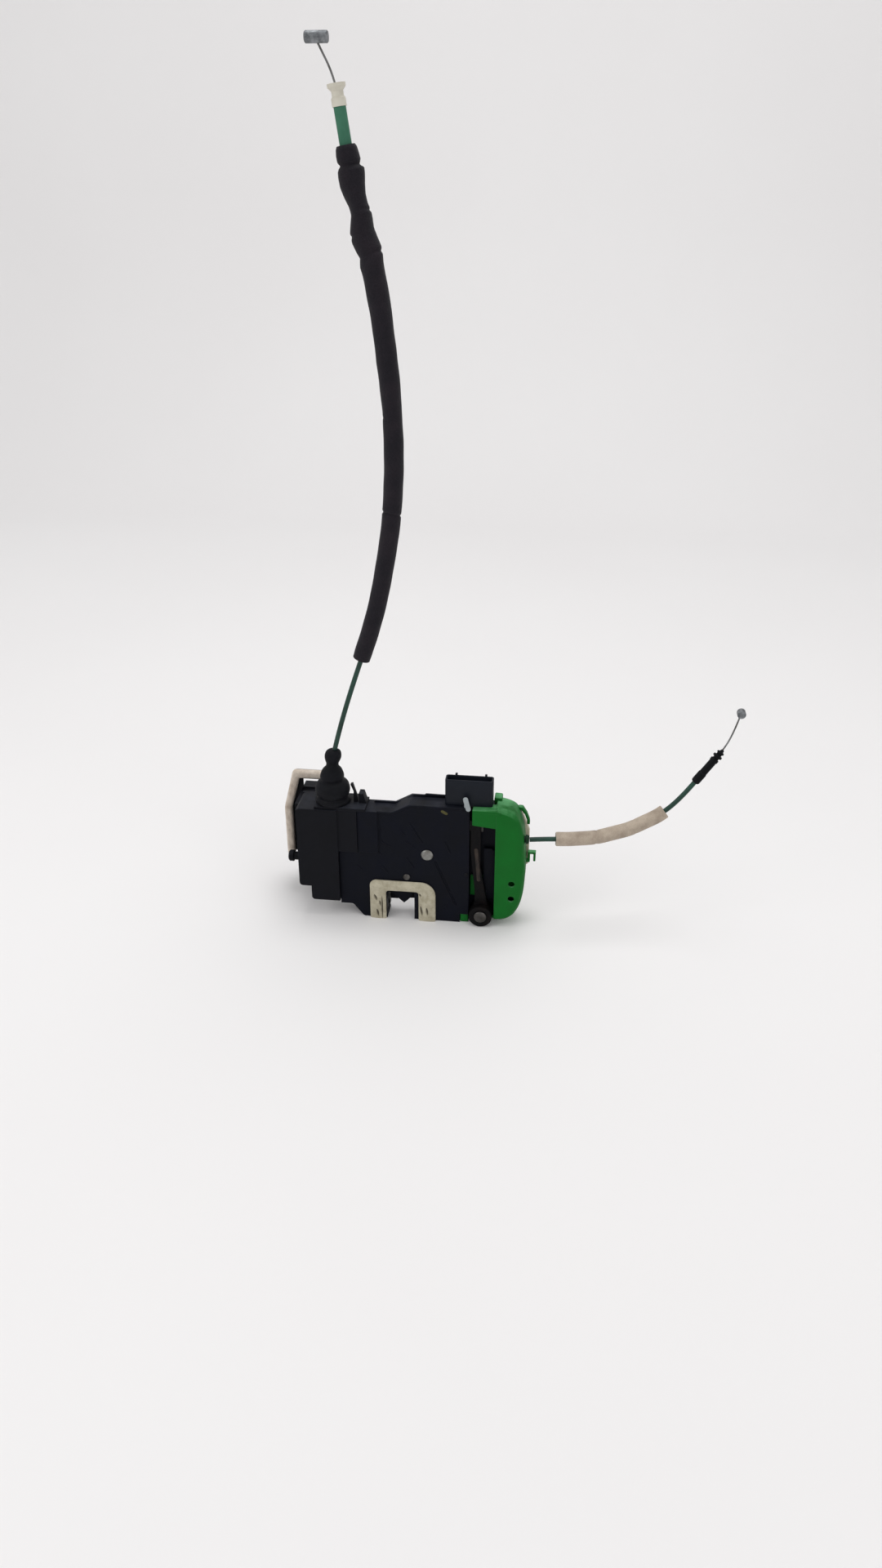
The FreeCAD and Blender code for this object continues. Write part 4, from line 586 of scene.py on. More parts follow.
longConduit, longLine = cableCurve("longConduit", longCable["points"], longCable["radius"])
shortConduit, shortLine = cableCurve("shortConduit", shortCable["points"], shortCable["radius"])
for conduit, node in ((longConduit, "long_conduit"), (shortConduit, "short_conduit")):
    conduit.data.materials.append(finishes["conduit"])
    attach(conduit, "case")
    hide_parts(node)


def hollowTube(line, radius, bore, reference, shift=0.0):
    # outer skin up, inner skin down, so that the sleeve is one closed tube with open ends; its laid place
    # is (length along the cord, radius cos a, radius sin a), drawn in to 0.35 of that on the inner skin
    angle = np.linspace(0, 2 * np.pi, radius.shape[1], endpoint=False)
    outside = tubeGrid(line, radius, reference, len(angle))
    outside[:, :, 0] += shift
    inside = tubeGrid(line, bore, reference, len(angle))
    along = np.broadcast_to(measured(line)[:, None], radius.shape)
    rest = np.stack([along, radius * np.cos(angle), radius * np.sin(angle)], -1)
    return (shell(np.concatenate([outside, inside[::-1]]), aroundRows=True),
            np.concatenate([rest, rest[::-1] * [1, 0.35, 0.35]]).reshape(-1, 3))


# sleeve of the long cable, bound with tape and twisted near its upper end; each row of the form is a
# height with the sleeve's radius and how far it leans off the cable there; each crease is its height,
# depth, half width and the angle that it runs round, which above 8 means all the way
longSleeveShape = dict(first=203.0, last=510.2, rows=520, steps=56,
                       form=[(203, 5.9, 0.0), (208, 6.1, 0.0), (245, 6.05, 0.3), (275, 6.1, -0.2),
                             (300, 6.15, 0.0), (320, 6.25, -0.3), (350, 6.25, -0.6), (366, 6.0, -0.9),
                             (380, 6.4, -1.3), (395, 6.5, -1.6), (410, 6.4, -1.4), (425, 6.6, -1.0),
                             (440, 6.9, -0.6), (449, 7.2, -0.2), (454, 6.7, 0.9), (457, 7.1, 0.4),
                             (462, 7.2, -0.6), (467, 7.0, -0.8), (472, 6.8, 0.3), (476, 6.4, 1.0),
                             (480, 5.9, 0.4), (485, 6.3, -0.4), (490, 6.9, -0.6), (495, 7.3, -0.1),
                             (498, 7.3, 0.3), (500.2, 5.7, 0.0), (502.5, 6.6, 0.2), (505.5, 6.7, 0.1),
                             (508.8, 6.4, 0.1), (510.2, 5.6, 0.0)],
                       creases=[(477.2, 0.9, 0.9, 2.6), (465.0, 0.7, 1.0, 0.3), (454.2, 0.9, 1.1, 3.6),
                                (363.0, 0.35, 0.9, 0.0), (303.1, 0.75, 0.8, 9.0), (500.0, 0.7, 0.9, 9.0)],
                       twistFrom=425.0, twistOver=25.0, twistDeep=0.42, twistPitch=5.5, hollow=2.1,
                       flareFrom=506.5, flareOver=1.2, flareBy=1.5)


def longSleeve(look):
    form = np.array(look["form"])
    # its upper end overlaps the fitting by 2 mm, where its bore flares
    ahead = longLine[-1] - longLine[-2]
    route = np.vstack([longLine, longLine[-1] + 4 * ahead / np.linalg.norm(ahead)])
    start, end = (np.interp(look[key], route[:, 2], measured(route)) for key in ("first", "last"))
    line = stretch(route, start, end, look["rows"])
    height = line[:, 2, None]
    angle = np.linspace(0, 2 * np.pi, look["steps"], endpoint=False)
    radius = np.interp(height, form[:, 0], form[:, 1]) + 0 * angle
    # twist: two soft lobes that turn with the height, strong in the upper third
    twist = look["twistDeep"] * np.clip((height - look["twistFrom"]) / look["twistOver"], 0, 1)
    radius += twist * np.sin(2 * angle + height / look["twistPitch"])
    radius += 0.12 * np.sin(angle * 3 + height / 9) * np.sin(height / 4.3)
    for place, deep, wide, around in look["creases"]:
        # a crease runs round the front of the sleeve and rises by about a millimetre across it
        bend = height - place - 1.2 * np.sin(angle + around)
        share = 1.0 if around > 8 else 0.5 + 0.5 * np.cos(angle - around)
        radius -= deep * np.exp(-(bend / wide) ** 2) * share
    bore = look["hollow"] + look["flareBy"] * np.clip((height - look["flareFrom"]) / look["flareOver"], 0, 1)
    return hollowTube(line, radius, bore, (0, 1, 0), np.interp(height, form[:, 0], form[:, 2]))


skin, rest = longSleeve(longSleeveShape)
longSleevePiece = addPiece("longSleeve", [skin], finishes["black_foam"], laid=[rest])
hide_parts("long_sleeve")

# sleeve of the short cable; each crease is its share of the length, depth and half width
shortSleeveShape = dict(firstX=112.1, lastX=188.0, radius=5.1, rows=200, steps=48, hollow=2.1,
                        creases=[(0.36, 0.35, 1.1), (0.71, 0.15, 0.9)], slitAt=2.4, slitHalf=0.05,
                        slitDeep=0.9)


def shortSleeve(look):
    start, end = (np.interp(look[key], shortLine[:, 0], measured(shortLine)) for key in ("firstX", "lastX"))
    line = stretch(shortLine, start, end, look["rows"])
    along = measured(line)[:, None]
    whole = along[-1, 0]
    share = along / whole
    angle = np.linspace(0, 2 * np.pi, look["steps"], endpoint=False)
    radius = look["radius"] + 0.12 * np.sin(share * 23 + angle) + 0.1 * np.sin(3 * angle + share * 17)
    # cut square by hand: the skin draws in over the last half millimetre
    radius -= 0.35 * np.exp(-along / 0.4) + 0.35 * np.exp(-(whole - along) / 0.4)
    for place, deep, wide in look["creases"]:
        bend = along - place * whole - 1.0 * np.sin(angle)
        radius -= deep * np.exp(-(bend / wide) ** 2)
    # the tube is slit along its back so that it can be put round the cable
    radius -= look["slitDeep"] * np.exp(-((angle - look["slitAt"]) / look["slitHalf"]) ** 2)
    return hollowTube(line, radius, look["hollow"], (0, 0, 1))


skin, rest = shortSleeve(shortSleeveShape)
shortSleevePiece = addPiece("shortSleeve", [skin], finishes["foam_sleeve"],
                            laid=[rest])
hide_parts("short_sleeve")

# ferrule: a long barrel, then two ribs and a nose; each pair is a share of its length and a radius
ferrule = dict(rows=240, steps=40, nose=1.2,
               form=[(0, 2.4), (0.02, 2.9), (0.05, 3.1), (0.28, 3.1), (0.3, 2.75), (0.64, 2.7), (0.66, 3.1),
                     (0.72, 3.1), (0.735, 2.2), (0.77, 2.2), (0.785, 3.4), (0.83, 3.4), (0.845, 2.0),
                     (0.88, 2.0), (0.9, 2.7), (0.93, 2.6), (0.945, 1.5), (0.99, 1.1), (1.0, 0.7)])


def ferruleShell(look, cable):
    # radius(share) round the straight line from the conduit's end to the wire's outlet and its nose
    base, outlet = np.array(cable["points"][-1], float), np.array(cable["tip"][0], float)
    long = np.linalg.norm(outlet - base)
    nose = outlet + look["nose"] * (outlet - base) / long
    line = stretch(np.array([base, nose]), 0, long + look["nose"], look["rows"])
    form = np.array(look["form"])
    radius = np.interp(np.linspace(0, 1, look["rows"]), form[:, 0], form[:, 1])
    return shell(tubeGrid(line, radius[:, None], (0, 1, 0), look["steps"]))


ferrulePiece = addPiece("ribbedFerrule", [ferruleShell(ferrule, shortCable)], finishes["ferrule"],
                        crease=30)
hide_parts("short_ferrule")

wire = dict(radius=0.62, count=6, lay=7.0, steps=10, out=1.5, past=1.5)


def strandedWire(line, look):
    # one straight strand and count more wound round it, each a third of the wire across; a wire that
    # stays at one depth is measured across from the Y axis, the other one from the Z axis
    thin = look["radius"] / 3
    side, over = sideAndOver(line, (0, 1, 0) if abs(line[0, 1] - line[-1, 1]) < 1 else (0, 0, 1))
    turn = 2 * np.pi * measured(line) / look["lay"]
    strands = [tubeGrid(line, thin, (0, 1, 0), look["steps"])]
    for number in range(look["count"]):
        angle = turn + 2 * np.pi * number / look["count"]
        wound = line + 2 * thin * (np.cos(angle)[:, None] * side + np.sin(angle)[:, None] * over)
        strands.append(tubeGrid(wound, thin, (0, 1, 0.3), look["steps"]))
    return [shell(grid) for grid in strands]


def innerWire(cable, look, hidden):
    # from inside the fitting, straight out and then on one smooth line through the tip's points
    base, tip = np.array(cable["points"][-1], float), np.array(cable["tip"], float)
    ahead = (tip[0] - base) / np.linalg.norm(tip[0] - base)
    onward = (tip[-1] - tip[-2]) / np.linalg.norm(tip[-1] - tip[-2])
    line = rounded(np.vstack([tip[0] - ahead * hidden, tip[0] + ahead * look["out"], tip[1:-1],
                              tip[-1] + onward * look["past"]]), 4)
    return stretch(line, 0, measured(line)[-1], 90)


longWire = addPiece("longWire", strandedWire(innerWire(longCable, wire, 20), wire), finishes["wire"],
                    body="long_inner")
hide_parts("long_wire")
shortWire = addPiece("shortWire", strandedWire(innerWire(shortCable, wire, 12), wire), finishes["wire"],
                     body="short_inner")
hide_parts("short_wire")
print("cords made")

# foam seals


def tearOpen(grid, depth, tears, deep):
    # each tear is a leaf-shaped slit: deep x exp(-(across / its width there)^2), its width falling to
    # nothing at both ends; returns how open every point is
    x, z = grid[:, :, 0], grid[:, :, 2]
    split = np.zeros(x.shape)
    for middle, height, long, wide, lean in tears:
        c, s = math.cos(math.radians(lean)), math.sin(math.radians(lean))
        along = ((x - middle) * s + (z - height) * c) / long
        across = ((x - middle) * c - (z - height) * s) / wide
        leaf = np.clip(1 - along ** 2, 0, 1)
        split = np.maximum(split, np.exp(-(across / np.maximum(leaf, 0.05)) ** 2) * np.sqrt(leaf))
    split *= np.clip((depth - 0.6) / 0.3, 0, 1)
    grid[:, :, 1] += deep * split
    return split


# each tear is its middle x and z, half length, half width and lean in degrees
slotFoam = dict(left=-22.9, right=26.1, top=33.0, slotLeft=-10.8, slotRight=13.4, slotTop=24.4,
                roundLeft=5.0, roundRight=11.0, thick=2.5, edge=1.2, crown=0.5, face=46, tearDeep=1.5,
                tears=[(-18.6, 18.2, 3.0, 0.8, -22), (-13.8, 9.8, 10.5, 0.5, 0), (-17.2, 4.9, 3.4, 0.7, -12),
                       (-15.3, 13.4, 2.4, 0.4, -8), (19.9, 8.6, 3.6, 0.75, -8), (15.6, 8.8, 4.6, 0.75, -9),
                       (14.6, 22.4, 1.6, 0.6, -30)])


def slotFoamParts(look):
    west, east, top = look["slotLeft"], look["slotRight"], look["slotTop"]
    inner = filleted([(west, 0), (west, top), (east, top), (east, 0)], [2.4, 2.0], leg=70, arc=24)
    west, east, top = look["left"], look["right"], look["top"]
    outer = filleted([(west, 0), (west, top), (east, top), (east, 0)], [look["roundLeft"], look["roundRight"]],
                     leg=70, arc=24)
    grid, depth = foamBand(inner, outer, 0, -look["thick"], look)
    x, z = grid[:, :, 0], grid[:, :, 2]
    # hand-cut foam: the front lies 0.16 mm back and waves by up to 0.24 mm either way
    waves = 0.16 + 0.14 * np.sin(x / 3.1 + 1) * np.sin(z / 2.7) + 0.1 * np.sin(z / 1.3 + x / 5)
    grid[:, :, 1] += np.clip((depth - 0.5) / 0.5, 0, 1) * waves
    split = tearOpen(grid, depth, look["tears"], look["tearDeep"])
    return shell(grid), np.concatenate([split.ravel(), [0, 0]])


skin, split = slotFoamParts(slotFoam)
slotFoamPiece = addPiece("slotFoam", [skin], finishes["foam"], crease=60, split=split)
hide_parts("slot_seal")

sideFoam = dict(outer=[(-95.5, 25.0), (-95.5, 65.5), (-87.5, 97.0), (-64.0, 97.0)],
                inner=[(-89.5, 25.0), (-89.5, 65.5), (-82.7, 91.0), (-64.0, 91.0)], near=41.0, far=47.0,
                edge=1.8, crown=0.5, face=24)


def sideFoamShell(look):
    inner = filleted(look["inner"], [10.0, 1.0], leg=60, arc=12)
    outer = filleted(look["outer"], [14.0, 3.0], leg=60, arc=12)
    grid, depth = foamBand(inner, outer, look["far"], look["near"], look)
    x, z = grid[:, :, 0], grid[:, :, 2]
    # the front lies 0.35 mm back and waves slowly by 0.3 mm, with a finer wave of 0.15 mm on it
    grid[:, :, 1] += np.clip(depth, 0, 1) * (0.35 + 0.3 * np.sin(z / 7.3) * np.sin(x / 6.1)
                                             + 0.15 * np.sin(z / 1.9 + x))
    return shell(grid)


sideFoamPiece = addPiece("sideFoam", [sideFoamShell(sideFoam)], finishes["side_foam_painted_lit"],
                         crease=60)
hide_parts("side_seal")

endFoam = dict(outer=[(62, 40), (92.6, 40), (92.6, 70), (87, 84), (62, 84)],
               inner=[(69, 47), (83, 47), (83, 70), (81, 76), (69, 76)], near=22.0, far=26.0,
               edge=1.0, crown=0.3, face=24)


def endFoamShell(look):
    grid, depth = foamBand(ringLine(look["inner"], 1.5, leg=16), ringLine(look["outer"], 2.5, leg=16),
                           look["near"], look["far"], look)
    # the back is pressed in by up to 0.4 mm, in waves
    grid[:, :, 1] -= 0.2 * depth * (1 + np.sin(grid[:, :, 2] / 3.3) * np.sin(grid[:, :, 0] / 2.7))
    return shell(grid, aroundRows=True)


endFoamPiece = addPiece("endFoam", [endFoamShell(endFoam)], finishes["foam"], crease=60)
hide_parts("end_pad")
print("foam made")

# bellows of the long cable

bellows = dict(axis=(-49.9, 10.0), leanTo=(-47.9, 10.0), leanFrom=112.0, top=132.9,
               profile=[(11.0, 92.2), (12.9, 92.3), (13.0, 93.2), (12.9, 94.4), (11.9, 95.4), (11.2, 96.2),
                        (11.2, 97.0), (12.0, 98.0), (12.6, 99.6), (12.8, 101.6), (12.6, 103.6), (12.0, 105.2),
                        (11.0, 106.8), (9.6, 108.0), (8.3, 108.8), (7.9, 109.6), (8.5, 110.4), (8.7, 111.6),
                        (8.4, 113.4), (7.8, 115.2), (7.0, 117.0), (5.8, 118.4), (4.7, 119.6), (4.3, 121.0),
                        (4.4, 122.6), (5.2, 124.4), (5.8, 126.2), (6.0, 128.2), (5.8, 130.0), (5.2, 131.4),
                        (4.2, 132.4), (2.2, 132.9)])


def bellowsShell(look):
    # radius x (1 + 0.015 sin(2a + height / 6) + 0.006 sin(5a + height)), about an axis that leans over
    # from leanFrom up
    profile = rounded(look["profile"], 2)
    angle = np.linspace(0, 2 * np.pi, 72, endpoint=False)
    height = profile[:, 1, None] + 0 * angle
    radius = profile[:, 0, None] * (1 + 0.015 * np.sin(2 * angle + height / 6)
                                    + 0.006 * np.sin(5 * angle + height))
    share = np.clip((height - look["leanFrom"]) / (look["top"] - look["leanFrom"]), 0, 1) ** 1.4
    x = look["axis"][0] + share * (look["leanTo"][0] - look["axis"][0]) + radius * np.cos(angle)
    y = look["axis"][1] + radius * np.sin(angle)
    return shell(np.stack([x, y, height], -1))


bellowsPiece = addPiece("bellows", [bellowsShell(bellows)], finishes["rubber"], crease=60)
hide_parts("cable_boot")
print("bellows made")

# connector socket and its clip

socket = dict(left=32.5, right=66.6, near=3.2, far=12.0, low=97.0, high=117.4, wall=1.2, floor=101.0,
              corner=1.6, teeth=(39.8, 60.9))


def socketShells(look):
    outline = ringLine([(look["left"], look["near"]), (look["right"], look["near"]),
                        (look["right"], look["far"]), (look["left"], look["far"])], look["corner"])
    middle = outline.mean(0)
    wall, low, high = look["wall"], look["low"], look["high"]
    # up the outside, over the rim in a half circle and down the cavity: inset and height of each ring
    over = np.linspace(0, np.pi, 9)
    inset = np.concatenate([[0.3, 0, 0], wall / 2 * (1 - np.cos(over)), [wall, wall + 0.3]])
    level = np.concatenate([[low, low + 0.3, high - 6], high - wall / 2 + wall / 2 * np.sin(over),
                            [look["floor"] + 0.4, look["floor"]]])
    half = np.abs(outline - middle).max(0)
    flat = middle + (outline - middle)[None] * (1 - inset[:, None, None] / half)
    walls = shell(np.concatenate([flat, np.broadcast_to(level[:, None, None], flat.shape[:2] + (1,))], -1))
    teeth = [prism(ringLine([(x - 0.8, look["far"] - 1.0), (x + 0.8, look["far"] - 1.0),
                             (x + 0.8, look["far"] + 0.8), (x - 0.8, look["far"] + 0.8)], 0.3, leg=3, arc=4),
                   high - 12, high + 1.2, 0.25, along="Z") for x in look["teeth"]]
    return [walls] + teeth


socketPiece = addPiece("connectorSocket", socketShells(socket), finishes["socket"])
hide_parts("connector_socket")

clip = dict(low=(49.6, 96.6), high=(47.6, 104.2), half=1.8, near=0.2, far=-1.2, edge=0.55,
            plug=[(46.6, 97.2), (49.6, 97.2), (49.6, 102.0), (46.6, 102.0)], plugFar=3.3)


def clipShells(look):
    # a stadium round the line from low to high, and the plug that goes through the wall behind it
    low, high = np.array(look["low"]), np.array(look["high"])
    ahead = (high - low) / np.linalg.norm(high - low)
    side = np.array([ahead[1], -ahead[0]])
    turn = np.linspace(0, np.pi, 14)[:, None]
    cap = look["half"] * (np.cos(turn) * side + np.sin(turn) * ahead)
    return [prism(np.vstack([high + cap, low - cap]), look["far"], look["near"], look["edge"]),
            prism(ringLine(look["plug"], 0.8), 0.0, look["plugFar"], 0.2)]


clipPiece = addPiece("connectorClip", clipShells(clip), finishes["bright_nylon"])
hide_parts("connector_clip")
print("connector made")

# curtain behind the fork, at the top of the striker slot

curtain = dict(near=13.1, far=14.8, outline=[(-10.0, 8.4), (-4.2, 8.4), (-2.4, 11.2), (-0.6, 9.4), (10.0, 9.8),
                                             (10.0, 28.0), (-10.0, 28.0)])
curtainPiece = addPiece("strikerCurtain", [prism(ringLine(curtain["outline"], 0.7), curtain["near"],
                                                 curtain["far"], 0.3)], finishes["rubber"])
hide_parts("striker_buffer")

# the case's rear rim, the beads moulded on its face and what sits there

rearRim = dict(near=13.3, far=14.9, outline=[(-21.0, 89.6), (-19.6, 91.7), (-4.6, 91.6), (1.0, 93.2),
                                             (5.0, 96.2), (9.0, 98.4), (16.6, 98.6), (17.6, 99.5),
                                             (31.6, 99.3), (31.9, 96.4), (7.4, 96.0), (-4.6, 89.4)])
addPiece("rearRim", [prism(ringLine(rearRim["outline"], 0.5, leg=4, arc=4), rearRim["near"],
                           rearRim["far"], 0.5)], finishes["case"])

# each bead: its points (x, z), half width and height in front of the seal face
faceBeads = [([(7.1, 82.1), (16.4, 65.8)], 0.75, 0.5), ([(4.3, 53.2), (10.2, 44.5)], 0.6, 0.45),
             ([(32.5, 69.0), (36.7, 59.0)], 0.6, 0.45), ([(24.6, 51.6), (39.9, 15.2)], 0.45, 0.5),
             ([(26.2, 51.0), (41.3, 14.6)], 0.45, 0.5), ([(-0.2, 76.5), (3.8, 72.1)], 0.5, 0.4),
             ([(3.9, 66.3), (10.7, 62.0)], 0.5, 0.4), ([(-16.1, 57.2), (-13.7, 53.9)], 0.5, 0.4),
             ([(-15.1, 46.1), (-9.2, 38.8)], 0.6, 0.4), ([(-32.0, 43.5), (-28.2, 40.2)], 0.6, 0.4),
             ([(31.9, 14.0), (34.5, 11.6)], 0.45, 0.35), ([(31.9, 11.6), (34.5, 14.0)], 0.45, 0.35)]
discTurn = np.linspace(math.radians(150), math.radians(265), 18)
faceBeads.append((np.stack([-5.4 + 9.4 * np.cos(discTurn), 71.2 + 9.4 * np.sin(discTurn)], -1), 0.5, 0.4))
addPiece("faceBeads", [ridge(path, half, out) for path, half, out in faceBeads], finishes["case"])
addPiece("oldGlue", [ridge([(30.1, 93.9), (32.2, 92.6), (34.8, 91.2)], 1.1, 0.25, sunk=0.2)],
         finishes["glue"])
addPiece("facePlug", [lathe([(0.3, 0.3), (1.5, 0.3), (1.6, -0.2), (1.3, -0.5), (0.4, -0.55)],
                            (48.7, 0, 41.9), 24)], finishes["rubber"])
# rolled front edge along the top of the case
frontRoll = rounded([(-30.0, 89.5), (-8.0, 89.5), (-4.6, 89.7), (6.6, 96.2), (10.0, 96.4), (49.0, 96.4)], 2)
rollLine = np.stack([frontRoll[:, 0], 0 * frontRoll[:, 0] + 0.25, frontRoll[:, 1] - 0.2], -1)
rollLine = stretch(rollLine, 0, measured(rollLine)[-1], 120)
addPiece("frontRoll", [shell(tubeGrid(rollLine, 0.9, (0, 1, 0), 14))], finishes["case"],
         crease=60)
print("case details made")

# end cover: a green moulding open towards the lever, all its outer edges rounded; then the arm and the
# ledge over the lever, the bump beside the socket, the rail and foot, the web and the two snap hooks;
# opened is the block cut away at its left, and gland gives the hole in its right side

cover = dict(near=-2.5, far=22.0, wall=1.8, edge=4.2, innerEdge=2.8,
             opened=[(50.0, -10.0), (69.4, -10.0), (69.4, 110.0), (50.0, 110.0)],
             outer=[(64.0, 4.2), (78.6, 4.6), (87.2, 13.5), (91.4, 33.0), (90.8, 62.0), (88.8, 82.0),
                    (84.8, 92.6), (77.0, 96.8), (64.0, 98.4)],
             inner=[(60.0, 6.6), (78.2, 6.6), (85.8, 15.4), (89.6, 33.0), (89.0, 62.0), (87.0, 81.0),
                    (83.4, 90.6), (76.6, 95.0), (60.0, 96.2)],
             holes=[(81.8, 37.4), (81.8, 24.7)], hole=2.4, gland=(5.0, 71.8), glandHole=2.6)


def carve(item, cutters):
    # each closed shell is cut away exactly, one after another
    for points, quads, caps in cutters:
        mesh = bpy.data.meshes.new("cutter")
        mesh.from_pydata((points * mm).tolist(), [], quads.tolist() + caps.tolist())
        tool = bpy.data.objects.new("cutter", mesh)
        bpy.context.scene.collection.objects.link(tool)
        cut = item.modifiers.new("cut", "BOOLEAN")
        cut.operation, cut.solver, cut.object = "DIFFERENCE", "EXACT", tool
        bpy.context.view_layer.update()
        evaluated = item.evaluated_get(bpy.context.evaluated_depsgraph_get())
        carved = bpy.data.meshes.new_from_object(evaluated)
        item.modifiers.clear()
        item.data = carved
        bpy.data.objects.remove(tool)
        bpy.data.meshes.remove(mesh)
    item.data.shade_smooth()
    item.data.set_sharp_from_angle(angle=math.radians(30))


def closedLine(line):
    # the rounded line with its straight back side filled in at even steps
    curve = rounded(line, 3)
    back = curve[-1] + (curve[0] - curve[-1]) * np.linspace(0, 1, 14)[1:-1, None]
    return np.vstack([curve, back])


def circleLine(middle, radius):
    angle = np.linspace(0, 2 * np.pi, 28, endpoint=False)
    return np.stack([middle[0] + radius * np.cos(angle), middle[1] + radius * np.sin(angle)], -1)


coverPiece = addPiece("endCover", [prism(closedLine(cover["outer"]), cover["near"], cover["far"],
                                         cover["edge"])], finishes["green"])
carve(coverPiece, [
    prism(np.array(cover["opened"]), -8.0, 30.0, 0.0),
    prism(closedLine(cover["inner"]), cover["near"] + cover["wall"], cover["far"] - cover["wall"],
          cover["innerEdge"]),
    prism(circleLine(cover["gland"], cover["glandHole"]), 84.0, 96.0, 0.0, along="X")]
    + [prism(circleLine(middle, cover["hole"]), -6.0, 2.0, 0.0) for middle in cover["holes"]])
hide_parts("end_cover")

# each part: its outline (x, z), near and far, how round its corners and its rims are
coverParts = [([(52.6, 84.5), (73.0, 82.3), (73.0, 96.0), (69.6, 96.9), (52.6, 96.8)], -2.46, -0.74, 0.9, 0.6),
              ([(52.6, 95.0), (70.4, 95.0), (70.4, 97.4), (52.6, 96.8)], -2.1, 8.0, 0.5, 0.4),
              ([(66.9, 94.0), (72.6, 94.0), (72.6, 99.6), (66.9, 100.0)], 13.0, 21.5, 1.0, 0.7),
              ([(44.4, 0.3), (69.8, 0.3), (71.4, 5.5), (69.8, 6.6), (69.4, 2.8), (44.4, 2.8)],
               8.0, 14.0, 0.3, 0.3),
              ([(44.4, 0.3), (50.2, 0.3), (50.2, 6.8), (44.4, 6.8)], 0.6, 7.8, 0.5, 0.4),
              ([(51.1, 21.0), (88.6, 21.0), (88.6, 38.0), (51.1, 38.0)], 5.9, 7.7, 0.5, 0.3),
              ([(84.5, 92.4), (87.5, 92.2), (90.5, 87.5), (92.6, 82.0), (92.9, 78.5), (90.8, 78.5),
                (90.6, 82.0), (88.8, 86.6), (86.2, 90.0), (84.0, 90.4)], 15.0, 19.0, 0.5, 0.4),
              ([(88.6, 46.0), (93.8, 46.0), (93.8, 47.6), (88.6, 47.6)], 16.0, 20.0, 0.3, 0.3),
              ([(92.2, 46.1), (93.8, 46.1), (93.8, 54.5), (92.2, 54.5)], 16.05, 19.95, 0.3, 0.3),
              ([(92.2, 53.0), (98.0, 53.0), (98.0, 54.6), (92.2, 54.6)], 16.0, 20.0, 0.3, 0.3),
              ([(96.3, 47.0), (97.9, 47.0), (97.9, 54.5), (96.3, 54.5)], 16.05, 19.95, 0.3, 0.3)]
addPiece("coverParts", [prism(ringLine(line, turn), near, far, edge)
                        for line, near, far, turn, edge in coverParts],
         finishes["green"])
print("end cover made")

# outside lever: guard plate behind it and the bead pressed down its arm

guard = dict(near=4.9, far=5.6, outline=[(60.6, 19.5), (69.0, 19.5), (69.0, 60.0), (66.5, 62.0), (60.6, 62.0)])
addPiece("leverGuard", [prism(ringLine(guard["outline"], 0.8), guard["near"], guard["far"], 0.2)],
         finishes["case"])
# the bead's paint is paler than the lever's: partly rubbed paint, partly a painted highlight along the ridge
addPiece("leverBead", [ridge([(55.4, 64.0), (56.2, 55.0), (57.1, 45.0), (57.8, 36.0)], 1.5, 0.6,
                             ground=1.05)], finishes["rubbed_paint_and_highlight"], body="outside_release")
addPiece("leverHeel", [lathe([(5.2, -4.4), (6.2, -4.9), (7.3, -4.9), (8.1, -4.6), (8.1, -4.2)],
                             (59.6, 0, 8.8), 56)], finishes["lever"], body="outside_release")
print("lever details made")

# worm: its thread, a helix whose pitch is the wheel's tooth spacing

worm = dict(axis=(-70.0, 44.0), low=50.8, high=65.8, shaftLow=44.0, shaftHigh=68.8, shaft=1.0, core=2.35,
            crest=3.2, pitch=2.65)


def wormShell(look):
    # radius = core + (crest - core) x a flattened triangle wave of (a / 2 pi - height / pitch)
    angle = np.linspace(0, 2 * np.pi, 40, endpoint=False)
    height = np.concatenate([[look["shaftLow"], look["low"] - 0.01],
                             np.linspace(look["low"], look["high"], 130),
                             [look["high"] + 0.01, look["shaftHigh"]]])[:, None] + 0 * angle
    phase = angle / (2 * np.pi) - height / look["pitch"]
    wave = np.clip(3.36 * np.abs(phase - np.round(phase)) - 0.25, 0, 1)
    radius = look["core"] + (look["crest"] - look["core"]) * wave
    radius[:2] = radius[-2:] = look["shaft"]
    x, y = look["axis"][0] + radius * np.cos(angle), look["axis"][1] + radius * np.sin(angle)
    return shell(np.stack([x, y, height], -1))


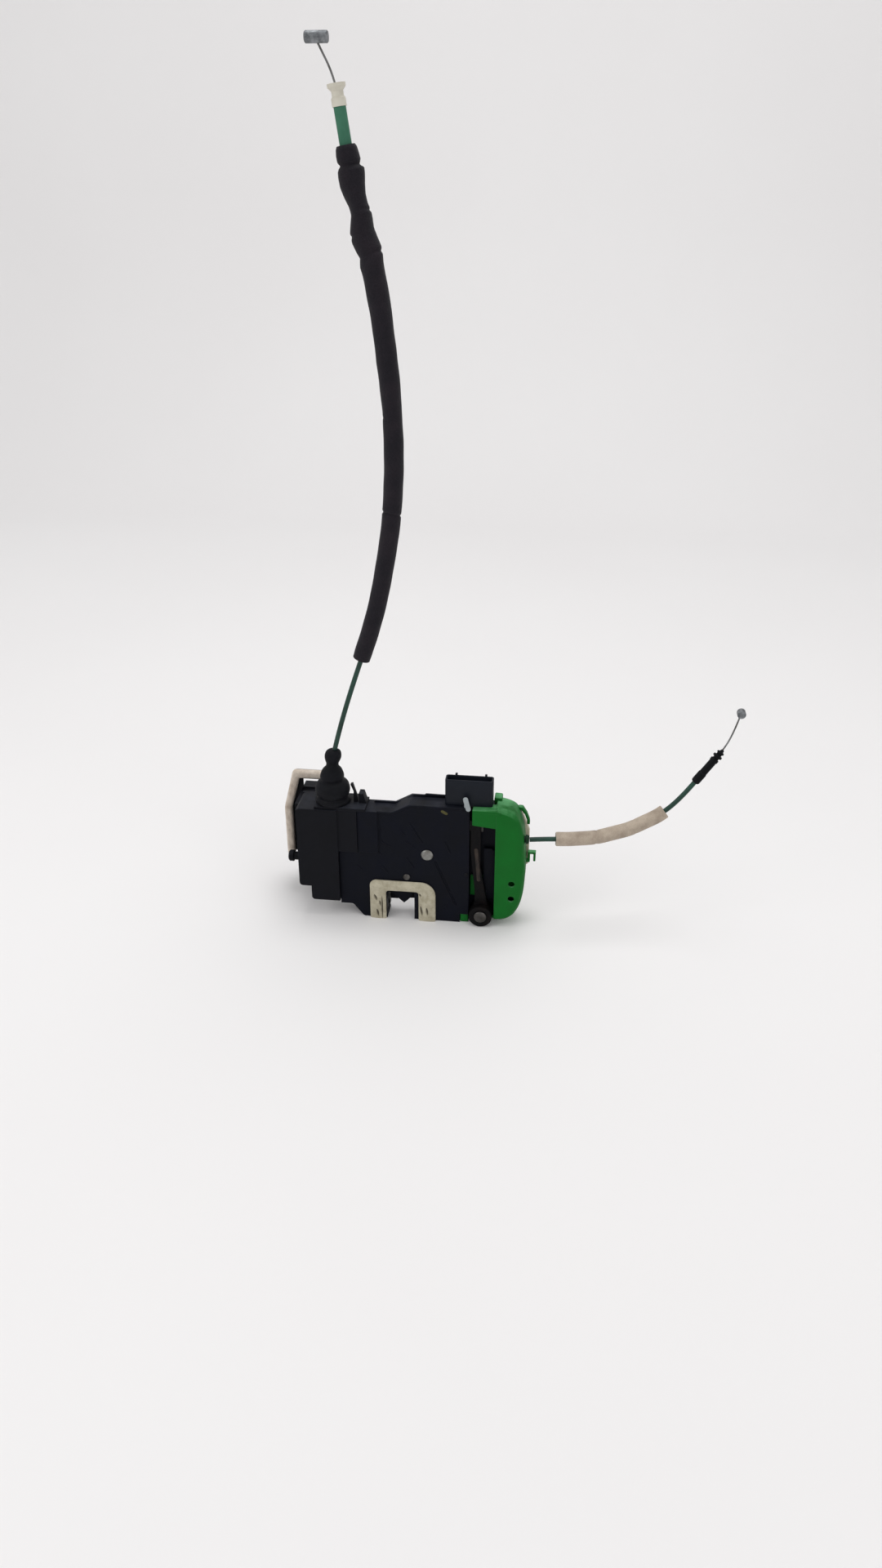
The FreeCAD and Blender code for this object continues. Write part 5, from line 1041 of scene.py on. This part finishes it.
wormPiece = addPiece("wormThread", [wormShell(worm)], finishes["brass"], body="worm")
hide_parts("motor_worm")

# screws that hold the back covers: pan heads with a six-lobed recess

screws = dict(places=[(-26.0, 17.5, 70.0), (10.0, 17.5, 70.0), (44.0, 17.5, 90.0), (44.0, 17.5, 68.0)],
              radius=2.6, rise=1.5, recess=1.3, recessDeep=1.0, lobe=0.14)


def screwShell(look, place):
    # rings inwards over the head and down into the recess, whose radius is 1 + lobe x cos 6a of its own
    angle = np.linspace(0, 2 * np.pi, 48, endpoint=False)
    head, rise, recess = look["radius"], look["rise"], look["recess"]
    radius = np.array([head * 0.98, head, head * 0.96, head * 0.85, head * 0.68, recess, recess * 0.96])
    level = np.array([-0.3, 0.25, 0.75, 1.15, 1.4, rise, rise - look["recessDeep"]])
    lobes = look["lobe"] * np.array([0, 0, 0, 0, 0, 1, 1])
    around = radius[:, None] * (1 + lobes[:, None] * np.cos(6 * angle))
    return shell(np.stack([place[0] + around * np.cos(angle),
                           np.broadcast_to(place[1] + level[:, None], around.shape),
                           place[2] + around * np.sin(angle)], -1))


addPiece("coverScrews", [screwShell(screws, place) for place in screws["places"]], finishes["steel_zinc"],
         crease=40)
print("worm and screws made")

# finishes of the solids that are shown as they are

nodeSlots = {
    "case": ["latch_case", "case_cover", "fork_rivet", "fork_bolt"],
    "box": ["cable_box", "box_cover", "side_housing", "side_cover", "boot_bracket", "key_stud"],
    "dark_green": ["short_cable_gland"],
    "nylon": ["worm_wheel", "lock_lever", "long_collar"],
    "steel_zinc": ["frame_plate", "pawl_rivet", "lock_motor"],
    "steel_dark": ["spring_post", "release_link", "pawl", "inside_lever", "inside_lever_pin",
                   "outside_lever_pin", "wheel_axle"],
    "spring_steel": ["fork_spring", "pawl_spring"],
    "tin": ["connector_pins"],
    "lever": ["outside_lever"],
    "sage": ["long_fitting"],
    "zinc_cast": ["long_nipple", "short_nipple"],
}
for slotName, names in nodeSlots.items():
    for name in names:
        nodes[name].data.materials.clear()
        nodes[name].data.materials.append(finishes[slotName])
print("solids finished")
